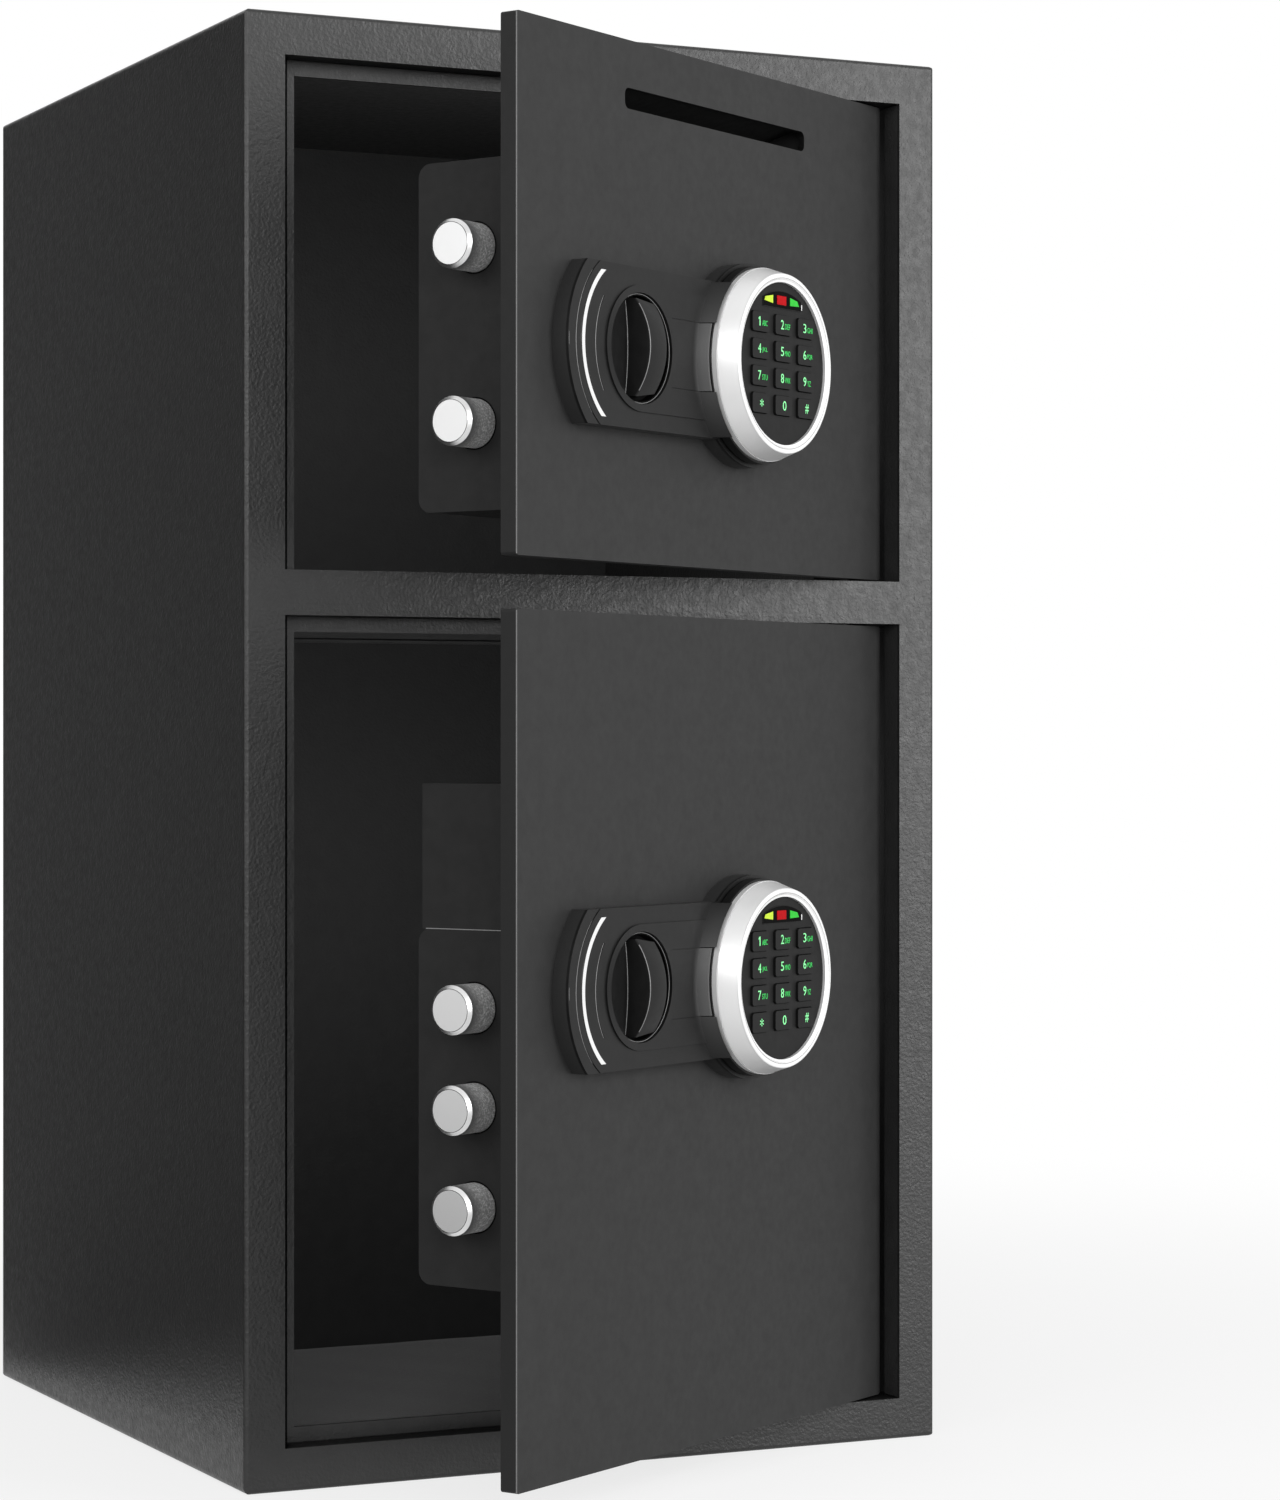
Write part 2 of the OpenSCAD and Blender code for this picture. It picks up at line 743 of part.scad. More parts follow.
// Height of the slide's edge that the plunger stands on, above or below the middle
function slide_edge(side) = side > 0 ? slide_z[1] : -slide_z[0];

module solenoid(side) {
    edge = slide_edge(side) + coil_off;
    color(zinc) mirror([0, 0, side < 0 ? 1 : 0]) difference() {
        block([plunger_u - coil_half, plunger_u + coil_half], [skin_t, coil_back], [edge, edge + coil_h]);
        translate([plunger_u, plunger_depth, edge - over])
            cylinder(r = plunger_r + run_gap, h = coil_h - 2 + over);
    }
}

module plunger(side) {
    tip = slide_edge(side) + plunger_gap;
    length = coil_off + coil_h - 2 - plunger_gap - plunger_travel - 0.5;
    color(bright) mirror([0, 0, side < 0 ? 1 : 0])
        translate([plunger_u, plunger_depth, tip]) cylinder(r = plunger_r, h = length);
}

// Lock plate, accent strip and knob

module plate_outline() {
    arc_mid = plate_u0 + plate_arc_r;
    intersection() {
        translate([arc_mid, 0]) circle(r = plate_arc_r);
        translate([plate_u0 - over, -plate_h / 2]) square([plate_arc_r, plate_h]);
    }
    translate([arc_mid - 5, -plate_h / 2]) square([keypad_u - arc_mid + 5, plate_h]);
    translate([keypad_u, 0]) circle(d = base_d);
}

module boss_outline() {
    translate([knob_u, 0]) circle(r = boss_r);
    translate([knob_u, -boss_r]) square([keypad_u + 30 - knob_u, 2 * boss_r]);
}

// The slope that rises from the plate to the keypad, seen on the side of the knob
module collar_slope(top) {
    rise = collar_top - plate_t;
    width = collar_w * (top - plate_t) / rise;
    translate([keypad_u, -plate_t, 0]) rotate([90, 0, 0])
        cylinder(r1 = nest_r + collar_w, r2 = nest_r + collar_w - width, h = top - plate_t);
}

// The collar stands lower between the two seams of the channel
module collar() {
    u = [keypad_u - nest_r - collar_w, keypad_u - 27];
    side = plate_h / 2 - 0.5;
    intersection() {
        collar_slope(collar_top);
        union() {
            block(u, [-collar_top, -plate_t], [-side, -channel_half]);
            block(u, [-collar_top, -plate_t], [channel_half, side]);
        }
    }
    intersection() {
        collar_slope(channel_top);
        block(u, [-channel_top, -plate_t], [-channel_half, channel_half]);
    }
}

// Fine seams along the channel's two edges
module channel_seams() {
    for (z = [-channel_half, channel_half])
        block([knob_u + well_r, keypad_u], [-collar_top, -boss_top + line_deep],
              [z - line_deep / 2, z + line_deep / 2]);
}

// T-shaped grooves that the keypad's rails slide in
module rail_grooves() {
    u = [rail_u[0] - rail_gap, rail_u[1] + keypad_travel + rail_gap];
    neck = rail_neck / 2 + rail_gap;
    foot = rail_foot / 2 + rail_gap;
    for (z = [-rail_z, rail_z]) {
        block(u, [-boss_top - over, -rail_floor - over], [z - neck, z + neck]);
        block(u, [-rail_floor - rail_foot_t - 2 * rail_gap, -rail_floor], [z - foot, z + foot]);
    }
}

module lock_plate() {
    color(plastic_black) difference() {
        union() {
            out(0, plate_t) plate_outline();
            out(plate_t, boss_top) boss_outline();
            collar();
        }
        round_out(keypad_u, 0, nest_r, boss_top, collar_top + over);
        channel_seams();
        round_out(knob_u, 0, well_r, well_floor, boss_top + over);
        round_out(knob_u, 0, spindle_d / 2 + run_gap, -over, well_floor + over);
        round_out(plug_u, 0, plug_d / 2 + run_gap, -over, boss_top + over);
        out(plate_t - strip_deep, boss_top + over) arc_band(strip_mid, strip_r, strip_w, strip_half);
        out(plate_t - line_deep, boss_top + over)
            arc_band(plate_u0 + plate_arc_r, plate_arc_r - ridge_in, line_w, plate_h);
        out(plate_t - line_deep, boss_top + over) arc_band(knob_u, boss_r + ridge_out, line_w, ridge_half);
        rail_grooves();
    }
}

module accent_strip() {
    color(bright) out(plate_t - strip_deep, plate_t + 0.3)
        arc_band(strip_mid, strip_r, strip_w - 0.2, strip_half - 0.1);
}

// Half section of the knob's dished disc: floor, a rising curve, then the rim
module knob_section() {
    r = knob_d / 2;
    r0 = fin_t / 2;
    r1 = r - 1.2;
    steps = 6;
    curve = [for (i = [0 : steps])
        [r0 + (r1 - r0) * i / steps, knob_floor + (knob_rim - knob_floor) * pow(i / steps, 2)]];
    polygon(concat([[0, knob_foot], [r, knob_foot], [r, knob_rim - 0.4], [r - 0.4, knob_rim]],
                   [for (i = [0 : steps]) curve[steps - i]], [[0, knob_floor]]));
}

module knob() {
    color(plastic_black) translate([knob_u, 0, 0]) union() {
        rotate([90, 0, 0]) rotate_extrude() knob_section();
        intersection() {
            block([-fin_t / 2, fin_t / 2], [-fin_top - over, -knob_foot], [-knob_d, knob_d]);
            translate([-fin_t / 2 - over, fin_arc_r - fin_top, 0]) rotate([0, 90, 0])
                cylinder(r = fin_arc_r, h = fin_t + 2 * over);
            round_out(0, 0, fin_half, knob_foot, fin_top + over);
        }
        round_out(0, 0, spindle_d / 2, -cam_front - over, knob_foot + over);
        round_out(0, 0, cam_disc_r, -cam_front - cam_t, -cam_front);
        round_out(rest_pin_u - knob_u, rest_pin_z, cam_pin_r,
                  -slide_front - slide_t - 0.6, -cam_front - over);
    }
}

// Key cylinder's plug, with its keyway and tail
module key_cylinder() {
    color(brass) translate([plug_u, 0, 0]) difference() {
        union() {
            round_out(0, 0, plug_d / 2, -skin_t - 4, boss_top);
            block([-plug_d / 2, plug_d / 2], [skin_t + 3, skin_t + 5], [-2, 8]);
        }
        block([-0.6, 0.6], [-boss_top - over, -boss_top + 6], [-3, 3]);
    }
}

// Sliding keypad

module keypad_housing() {
    color(plastic_black) union() {
        round_out(keypad_u, 0, housing_d / 2, housing_foot, bezel_foot);
        difference() {
            round_out(keypad_u, 0, wall_r, bezel_foot - over, face_seat);
            round_out(keypad_u, 0, seat_r, bezel_foot, face_seat + over);
        }
        round_out(keypad_u, 0, seat_r - 0.2, bezel_foot - over, mat_top);
        for (z = [-rail_z, rail_z]) {
            block(rail_u, [-housing_foot - over, -rail_floor - rail_gap],
                  [z - rail_neck / 2, z + rail_neck / 2]);
            block(rail_u, [-rail_floor - rail_gap - rail_foot_t, -rail_floor - rail_gap],
                  [z - rail_foot / 2, z + rail_foot / 2]);
        }
    }
}

// Half section of the bezel: foot rim, fine groove, tapered wall, front and inner lip
module bezel_section() {
    r = bezel_d / 2;
    front_r = bezel_front_d / 2;
    lip = face_d / 2 + 0.2;
    soft = 0.8;
    steps = 4;
    groove = bezel_foot + rim_h;
    round_over = [for (i = [0 : steps])
        [front_r - soft + soft * cos(90 * i / steps), bezel_top - soft + soft * sin(90 * i / steps)]];
    polygon(concat([[wall_r + 0.2, bezel_foot], [r, bezel_foot], [r, groove], [r - 0.6, groove],
                    [r - 0.6, groove + 0.5], [r - 0.2, groove + 0.5]], round_over,
                   [[lip + 1.6, bezel_top], [lip + 1.0, bezel_top - 0.6], [lip, bezel_top - 0.9],
                    [lip, face_seat + 0.1], [wall_r + 0.2, face_seat + 0.1]]));
}

module keypad_bezel() {
    color(bright) translate([keypad_u, 0, 0]) rotate([90, 0, 0]) rotate_extrude() bezel_section();
}

function key_place(i) = [keypad_u + (i % 3 - 1) * key_pitch_u, keys_z + (1.5 - floor(i / 3)) * key_pitch_z];

// A key's outline, grown by a margin all round
module key_outline(i, grow) {
    p = key_place(i);
    rounded_rect(p[0] - key_w / 2 - grow, p[0] + key_w / 2 + grow,
                 p[1] - key_h / 2 - grow, p[1] + key_h / 2 + grow, 1.4 + grow);
}

module keypad_face() {
    color(plastic_black) union() {
        out(face_seat, face_top) difference() {
            translate([keypad_u, 0]) circle(d = face_d);
            for (i = [0 : 11]) key_outline(i, key_gap);
        }
        out(face_top - over, face_top + 0.3) intersection() {
            translate([keypad_u - window_w / 2, window_z]) square([window_w, window_h]);
            translate([keypad_u, window_z + window_h - 40]) circle(r = 40);
        }
    }
}

module key_cap(i) {
    p = key_place(i);
    color(plastic_black) union() {
        out(key_skirt_top - over, face_top + key_proud) key_outline(i, 0);
        out(key_skirt_top - key_skirt_t, key_skirt_top)
            translate([p[0] - key_skirt_w / 2, p[1] - key_skirt_h / 2]) square([key_skirt_w, key_skirt_h]);
    }
}

// Every node, drawn where it stands

body_shell();
back_panel();
door_frames();
divider_shelf();
hinge_pins();
floor_mats();

upper_door_panel();
on_door() deposit_chute();  // upper_deposit_chute
upper_lock() lock_box(upper_box_z, [-1, 1], upper_screw_z, upper_bolt_z);  // upper_lock_box
upper_lock() cover_screws(upper_screw_z);  // upper_cover_screws
upper_lock() lock_plate();  // upper_lock_plate
upper_lock() accent_strip();  // upper_accent_strip
upper_lock() knob();  // upper_knob
upper_lock() bolt_carriage(upper_bolt_z);  // upper_bolt_carriage
upper_lock() bolts(upper_bolt_z);  // upper_bolts
upper_lock() solenoid(1);  // upper_solenoid
upper_lock() plunger(1);  // upper_plunger
upper_lock() key_cylinder();  // upper_key_cylinder
upper_lock() keypad_housing();  // upper_keypad_housing
upper_lock() keypad_bezel();  // upper_keypad_bezel
upper_lock() keypad_face();  // upper_keypad_face

lower_door_panel();
lower_lock() battery_box();  // lower_battery_box
lower_lock() lock_box(lower_box_z, [-1], lower_screw_z, lower_bolt_z);  // lower_lock_box
lower_lock() cover_screws(lower_screw_z);  // lower_cover_screws
lower_lock() lock_plate();  // lower_lock_plate
lower_lock() accent_strip();  // lower_accent_strip
lower_lock() knob();  // lower_knob
lower_lock() bolt_carriage(lower_bolt_z);  // lower_bolt_carriage
lower_lock() bolts(lower_bolt_z);  // lower_bolts
lower_lock() solenoid(-1);  // lower_solenoid
lower_lock() plunger(-1);  // lower_plunger
lower_lock() key_cylinder();  // lower_key_cylinder
lower_lock() keypad_housing();  // lower_keypad_housing
lower_lock() keypad_bezel();  // lower_keypad_bezel
lower_lock() keypad_face();  // lower_keypad_face

for (i = [0 : 11]) {
    upper_lock() key_cap(i);
    lower_lock() key_cap(i);
}
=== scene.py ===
# %% [markdown]
# # A deposit safe with two doors
# The safe is a folded steel cabinet with two doors, one above the other. Each door carries a round
# keypad, a turning knob and a box with round bolts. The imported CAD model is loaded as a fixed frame:
# its parts keep their shapes and places, and this lesson gives them finishes and small details.

# %% Load the fixed frame
import math
import bmesh
import bpy
from mathutils import Matrix, Vector


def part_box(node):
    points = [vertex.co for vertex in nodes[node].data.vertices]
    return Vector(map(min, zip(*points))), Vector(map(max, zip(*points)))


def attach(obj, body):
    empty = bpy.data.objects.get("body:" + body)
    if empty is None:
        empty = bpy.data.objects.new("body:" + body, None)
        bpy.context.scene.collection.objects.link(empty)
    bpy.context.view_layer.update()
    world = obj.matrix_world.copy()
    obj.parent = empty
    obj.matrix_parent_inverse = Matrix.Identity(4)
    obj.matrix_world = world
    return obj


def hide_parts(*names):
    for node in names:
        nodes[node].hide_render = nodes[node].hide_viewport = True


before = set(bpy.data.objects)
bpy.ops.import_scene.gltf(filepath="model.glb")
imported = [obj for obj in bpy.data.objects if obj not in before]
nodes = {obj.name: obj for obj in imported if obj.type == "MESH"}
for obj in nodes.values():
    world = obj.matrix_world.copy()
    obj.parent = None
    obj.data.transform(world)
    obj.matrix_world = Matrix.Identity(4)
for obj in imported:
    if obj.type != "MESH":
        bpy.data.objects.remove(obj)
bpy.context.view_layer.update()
MM = 0.001
SIDES = ("upper", "lower")

# %% Into the scene
def put_in_scene(name, data):
    """A new object that holds the data, linked to the scene."""
    thing = bpy.data.objects.new(name, data)
    bpy.context.scene.collection.objects.link(thing)
    return thing

def finished_mesh(name, shape):
    """The mesh of a shape that was being edited; the shape itself is given up."""
    mesh = bpy.data.meshes.new(name)
    shape.to_mesh(mesh)
    shape.free()
    return mesh

print("scene helpers ready")

# %% [markdown]
# ## The camera
# The viewing angle was solved from the six visible corners of the cabinet. The camera stands level, a
# little left of the front, and its frame is shifted sideways the way a view camera's back is moved.
# A shift keeps the upright edges upright, which turning the camera would not do.

# %% Camera
PICTURE = (1280, 1500)
SENSOR_MM = 36
FOCAL_PIXELS = 3847.3
AXIS_PIXEL = (496.0, 745.4)
EYE = (-0.7795, -1.7464, 0.3277)
TURN_DEGREES = -24.78

long_side = PICTURE[1]
camera_data = bpy.data.cameras.new("viewing_angle")
camera_data.sensor_width = SENSOR_MM
camera_data.lens = FOCAL_PIXELS * SENSOR_MM / long_side
camera_data.shift_x = (PICTURE[0] / 2 - AXIS_PIXEL[0]) / long_side
camera_data.shift_y = -(PICTURE[1] / 2 - AXIS_PIXEL[1]) / long_side
camera = put_in_scene("viewing_angle", camera_data)
camera.location = EYE
camera.rotation_euler = (math.radians(90), 0, math.radians(TURN_DEGREES))
bpy.context.scene.camera = camera
print("lens:", round(camera_data.lens, 2), "mm, shift:", round(camera_data.shift_x, 3))

# %% [markdown]
# ## Nodes by function
# A material is a tree of nodes. Written out, each node takes four or five lines, so the few kinds that
# this lesson needs get a short function each. A value that doesn't change goes straight on its socket.

# %% Node helpers
def math_node(tree, operation, first, second=None):
    node = tree.nodes.new("ShaderNodeMath")
    node.operation = operation
    for socket, value in zip(node.inputs, (first, second)):
        if isinstance(value, (int, float)):
            socket.default_value = value
        elif value is not None:
            tree.links.new(value, socket)
    return node.outputs[0]

def map_range(tree, value, start=0.0, end=1.0, low=0.0, high=1.0, smooth=False):
    """Takes a value from the range start to end into the range low to high, and stops at the ends."""
    node = tree.nodes.new("ShaderNodeMapRange")
    if smooth:
        node.interpolation_type = "SMOOTHSTEP"
    limits = {"From Min": start, "From Max": end, "To Min": low, "To Max": high}
    for name, limit in limits.items():
        node.inputs[name].default_value = limit
    tree.links.new(value, node.inputs["Value"])
    return node.outputs[0]

def object_place(tree):
    """A point's place in object coordinates, which are metres in the shared frame."""
    return tree.nodes.new("ShaderNodeTexCoord").outputs["Object"]

def length_of(tree, vector):
    node = tree.nodes.new("ShaderNodeVectorMath")
    node.operation = "LENGTH"
    tree.links.new(vector, node.inputs[0])
    return node.outputs["Value"]

def principled(material):
    return material.node_tree.nodes["Principled BSDF"]

def new_finish(name, colour, roughness, metallic=0.0, specular=0.5):
    material = bpy.data.materials.new(name)
    material.use_nodes = True
    shader = principled(material)
    shader.inputs["Base Color"].default_value = (*colour, 1)
    shader.inputs["Roughness"].default_value = roughness
    shader.inputs["Metallic"].default_value = metallic
    shader.inputs["Specular IOR Level"].default_value = specular
    return material

print("node helpers ready")

# %% [markdown]
# ## The light tent
# Product shots of dark, satin things are lit by large pale surfaces, because a dark surface shows
# mostly what it reflects. The world is that tent: white to the eye and to reflections, and dimmer as
# a lamp, so that the colours keep the level at which they are written. Three large area lamps add the
# direction: the strongest from the right, one from the left, and one from the front as a fill.

# %% World that is white to look at and dimmer as a lamp
TENT_LIGHT = 0.45

def white_to_the_eye(tree, shader):
    """An emitting shader gets strength 1 for what is seen and reflected, and less as a lamp."""
    rays = tree.nodes.new("ShaderNodeLightPath").outputs
    seen = math_node(tree, "MAXIMUM", rays["Is Camera Ray"], rays["Is Transmission Ray"])
    shown = math_node(tree, "MAXIMUM", seen, rays["Is Glossy Ray"])
    tree.links.new(map_range(tree, shown, low=TENT_LIGHT), shader.inputs["Strength"])

world = bpy.data.worlds.new("light_tent")
world.use_nodes = True
bpy.context.scene.world = world
tent = world.node_tree.nodes["Background"]
tent.inputs["Color"].default_value = (1, 1, 1, 1)
white_to_the_eye(world.node_tree, tent)
bpy.context.scene.view_settings.view_transform = "Standard"
print("the tent's share of light:", TENT_LIGHT)

# %% Area lamps
LAMPS = {
    "lamp_right": dict(place=(1.45, -2.1, 0.87), target=(0.1, 0, 0.42), size=(0.9, 1.8), watts=42),
    "lamp_left": dict(place=(-2.3, -1.1, 1.2), target=(0, 0, 0.35), size=(1.3, 1.3), watts=20),
    "lamp_front": dict(place=(-0.75, -2.35, 0.95), target=(0, 0, 0.35), size=(1.8, 0.9), watts=24),
}

def area_lamp(name, place, target, size, watts):
    data = bpy.data.lights.new(name, "AREA")
    data.shape = "RECTANGLE"
    data.size, data.size_y = size
    data.energy = watts
    lamp = put_in_scene(name, data)
    lamp.location = place
    aim = Vector(target) - Vector(place)
    lamp.rotation_euler = aim.to_track_quat("-Z", "Y").to_euler()
    return lamp

for name, setup in LAMPS.items():
    area_lamp(name, **setup)
print("lamps round the safe:", len(LAMPS))

# %% [markdown]
# ## Lamps in the doorways
# A dark, deep box swallows the light of the studio, so its inside would read as a black hole. A weak
# soft lamp just behind each doorway shines inwards. It can't be seen itself, and it lights nothing in
# front of it, so the inner walls come up to the level of their paint and the outside stays.

# %% Doorway lamps
DOORWAYS = {"upper": (0.535, 0.16, 0.6), "lower": (0.27, 0.18, 0.65)}
DOORWAY_WIDE, DOORWAY_Y, AIM_Y = 0.3, -0.138, 0.2

for side, (middle_z, tall, watts) in DOORWAYS.items():
    lamp = area_lamp(side + "_doorway_lamp", (0, DOORWAY_Y, middle_z), (0, AIM_Y, middle_z),
                     (DOORWAY_WIDE, tall), watts)
    lamp.visible_camera = False
    lamp.visible_glossy = False
print("doorway lamps:", len(DOORWAYS))

# %% [markdown]
# ## Flags beside the safe
# A photographer keeps a dark cabinet's side dark by standing a black card where that side would mirror
# the white tent. One card stands behind and to the left, and one lies on the floor there. Only
# reflections meet them: they are left out of the picture and cast no shadow.

# %% Flags
FLAGS = {
    "standing_flag": [(-2.6, 0.5, 0), (-0.5, 2.6, 0), (-0.5, 2.6, 2.2), (-2.6, 0.5, 2.2)],
    "lying_flag": [(-2.6, 0.5, 0.001), (-0.45, -0.6, 0.001), (-0.19, 0.2, 0.001),
                   (-0.5, 2.6, 0.001)],
}
black_velvet = new_finish("black_velvet", (0.01, 0.01, 0.01), 0.5, specular=0)

for name, corners in FLAGS.items():
    mesh = bpy.data.meshes.new(name)
    mesh.from_pydata(corners, [], [(0, 1, 2, 3)])
    mesh.materials.append(black_velvet)
    card = put_in_scene(name, mesh)
    card.visible_camera = False
    card.visible_diffuse = False
    card.visible_shadow = False
    card.visible_transmission = False
print("flags:", len(FLAGS))

# %% [markdown]
# ## The floor
# The floor is a wide pale disc. Near the safe it is a plain matt surface that keeps the safe's shadow,
# and further out it blends into the white of the tent, so that no horizon line crosses the picture.

# %% Floor
FLOOR_RADIUS = 4.0
FLOOR_WHITE, FLOOR_ROUGHNESS = 0.92, 0.9
FADE_START, FADE_END, FADE_LOW = 0.3, 1.3, 0.75

disc = bmesh.new()
bmesh.ops.create_circle(disc, cap_ends=True, segments=96, radius=FLOOR_RADIUS)
floor = put_in_scene("floor", finished_mesh("floor", disc))
floor_finish = new_finish("pale_floor", (FLOOR_WHITE,) * 3, FLOOR_ROUGHNESS, specular=0)
floor.data.materials.append(floor_finish)

tree = floor_finish.node_tree
glow = tree.nodes.new("ShaderNodeEmission")
white_to_the_eye(tree, glow)
from_safe = length_of(tree, object_place(tree))
fade = map_range(tree, from_safe, FADE_START, FADE_END, low=FADE_LOW, smooth=True)
both = tree.nodes.new("ShaderNodeMixShader")
tree.links.new(fade, both.inputs["Fac"])
tree.links.new(principled(floor_finish).outputs[0], both.inputs[1])
tree.links.new(glow.outputs[0], both.inputs[2])
tree.links.new(both.outputs[0], tree.nodes["Material Output"].inputs["Surface"])
print("floor radius:", FLOOR_RADIUS, "m")

# %% [markdown]
# ## How a finish is built
# Every finish here is a Principled shader with procedural noise. The noise is read in object
# coordinates, which are metres, so its grain can be set in millimetres. Three small functions do most
# of the work: one lets the colour drift a little, one lets the gloss drift, one raises the grain as
# bumps. Painted image textures would be the other way, but they would not fit every side of the parts.

# %% Helpers for finishes
NOISE_LOW, NOISE_HIGH = 0.3, 0.7    # nearly all of a noise lies between these two

def grey(level, tint=(0, 0, 0)):
    """Linear colour for a screen grey from 0 to 255, with a small tint in the same steps."""
    parts = [(level + shift) / 255 for shift in tint]
    return tuple(p / 12.92 if p <= 0.04045 else ((p + 0.055) / 1.055) ** 2.4 for p in parts)

def noise_at(tree, size_mm, detail=2.0):
    """A noise from 0 to 1 with grains of the given size."""
    noise = tree.nodes.new("ShaderNodeTexNoise")
    noise.inputs["Scale"].default_value = 1 / (size_mm * MM)
    noise.inputs["Detail"].default_value = detail
    tree.links.new(object_place(tree), noise.inputs["Vector"])
    return noise.outputs["Fac"]

def colour_ramp(tree, value, *stops):
    """Goes through colours at given places from 0 to 1; the first and last stop come first."""
    ramp = tree.nodes.new("ShaderNodeValToRGB")
    elements = ramp.color_ramp.elements
    for number, (place, colour) in enumerate(stops):
        stop = elements[number] if number < 2 else elements.new(place)
        stop.position = place
        stop.color = (*colour, 1)
    tree.links.new(value, ramp.inputs["Fac"])
    return ramp.outputs["Color"]

def drift_colour(material, dark, light, size_mm, detail=3.0):
    tree = material.node_tree
    noise = noise_at(tree, size_mm, detail)
    drifting = colour_ramp(tree, noise, (NOISE_LOW, dark), (NOISE_HIGH, light))
    tree.links.new(drifting, principled(material).inputs["Base Color"])

def drift_gloss(material, low, high, size_mm):
    tree = material.node_tree
    drifting = map_range(tree, noise_at(tree, size_mm), NOISE_LOW, NOISE_HIGH, low, high)
    tree.links.new(drifting, principled(material).inputs["Roughness"])

def raise_grain(material, size_mm, depth_mm, detail=2.0):
    """Adds bumps on top of any that the finish has already."""
    tree = material.node_tree
    bump = tree.nodes.new("ShaderNodeBump")
    bump.inputs["Strength"].default_value = 1.0
    bump.inputs["Distance"].default_value = depth_mm * MM
    normal = principled(material).inputs["Normal"]
    if normal.links:
        tree.links.new(normal.links[0].from_socket, bump.inputs["Normal"])
    tree.links.new(noise_at(tree, size_mm, detail), bump.inputs["Height"])
    tree.links.new(bump.outputs[0], normal)

print("a screen grey of 64 is", [round(v, 4) for v in grey(64)])

# %% [markdown]
# ## Powder coat
# The cabinet is sprayed with powder that melts into small lumps, like orange peel. The front frame
# shows lumps of about a millimetre and a half. The doors have a finer powder, the lock boxes a matt
# one, and the linings of the openings a paler one. One function makes all four, because only the
# grain, depth and shade differ.

# %% Powder coats
FINE_SIZE, FINE_DEPTH = 0.3, 0.25    # the small lumps between the large ones, as shares of these

def powder_coat(name, level, spread, lump_mm, depth_mm, gloss, shine):
    coat = new_finish(name, grey(level), gloss, specular=shine)
    drift_colour(coat, grey(level - spread), grey(level + spread), 9)
    drift_gloss(coat, gloss - 0.05, gloss + 0.06, 4)
    raise_grain(coat, lump_mm, depth_mm, 1.0)
    raise_grain(coat, lump_mm * FINE_SIZE, depth_mm * FINE_DEPTH)
    return coat

cabinet_coat = powder_coat("cabinet_powder_coat", 36, 2, 1.5, 0.2, 0.38, 0.38)
door_coat = powder_coat("door_powder_coat", 41, 2, 0.8, 0.02, 0.52, 0.16)
box_coat = powder_coat("lock_box_powder_coat", 36, 2, 0.9, 0.03, 0.6, 0.12)
lining_coat = powder_coat("lining_paint", 50, 3, 1.5, 0.2, 0.42, 0.3)
print("powder coats:", [m.name for m in (cabinet_coat, door_coat, box_coat, lining_coat)])

# %% [markdown]
# ## Moulded plastics
# The lock plate, knob and keypad are injection moulded. Their surface is satin with a fine spark
# grain. The knob is a little smoother, because hands polish it, and the keys are matt rubber-like
# caps. A pale plastic and a pale coat paint highlights along edges, ridges and seams, and a near-black
# plastic paints the shade in the knob's cup and round the bolt holes.

# %% Plastics
def moulded(name, level, gloss, shine=0.25, grain_mm=0.25, depth_mm=0.004):
    plastic = new_finish(name, grey(level), gloss, specular=shine)
    drift_colour(plastic, grey(level - 2), grey(level + 2), 6)
    drift_gloss(plastic, gloss - 0.04, gloss + 0.05, 3)
    raise_grain(plastic, grain_mm, depth_mm)
    return plastic

plate_plastic = moulded("plate_plastic", 23, 0.42, 0.17)
knob_plastic = moulded("knob_plastic", 23, 0.38, 0.13)
# A near-black plastic that paints shade inside the knob's cup and on the bolt holes' rims.
painted_shade_plastic = moulded("painted_shade_plastic", 6, 0.5, 0.03)
# A pale plastic and a pale coat that paint highlights on edges, ridges and seams.
pale_highlight_plastic = moulded("painted_highlight_plastic", 126, 0.3, 0.5)
painted_highlight_coat = moulded("painted_highlight_coat", 108, 0.4, 0.2)
housing_plastic = moulded("housing_plastic", 20, 0.4, 0.15)
face_plastic = moulded("face_plastic", 23, 0.5, 0.12)
key_plastic = moulded("key_plastic", 20, 0.45, 0.12)
window_plastic = moulded("window_plastic", 4, 0.3, 0.02, 0.5, 0.001)
plastics = (plate_plastic, knob_plastic, painted_shade_plastic, housing_plastic, face_plastic, key_plastic)
print("plastics:", [m.name for m in plastics])

# %% [markdown]
# ## Metals
# The bezel is a moulding with a silver lacquer: metal flakes in a clear coat, half mirror and half
# paint, so it stays bright even where it faces the dark door. The accent strip is polished. Screws
# and slides are zinc plated, with the cloudy look of that plating, and the hinge pins are blacked.

# %% Metals
LACQUER_METAL = 0.35

def plated(name, level, gloss, cloud_mm, spread=6, tint=(0, 0, 0)):
    metal = new_finish(name, grey(level, tint), gloss, metallic=1.0)
    drift_colour(metal, grey(level - spread, tint), grey(min(level + spread, 254), tint), cloud_mm)
    drift_gloss(metal, gloss - 0.04, gloss + 0.04, cloud_mm / 2)
    raise_grain(metal, 2.0, 0.002)
    return metal

silver_lacquer = plated("silver_lacquer", 237, 0.32, 20, 2)
principled(silver_lacquer).inputs["Metallic"].default_value = LACQUER_METAL
strip_chrome = plated("strip_bright_chrome", 250, 0.22, 10, 3)
zinc = plated("zinc_plating", 176, 0.38, 5, 10, (-2, 0, 3))
blacked_steel = plated("blacked_steel", 62, 0.5, 4, 6)
plug_brass = plated("plug_brass", 190, 0.3, 5, 6, (18, 0, -50))
print("metals:", [m.name for m in (silver_lacquer, strip_chrome, zinc, blacked_steel, plug_brass)])

# %% [markdown]
# ## Places on a door
# Both doors stand open by 30 degrees. It is easier to think of a door as a flat drawing: how far from
# the free edge, how high above the face, and how far up. One matrix turns such a drawing into the
# place where the door stands, for each of the two locks.

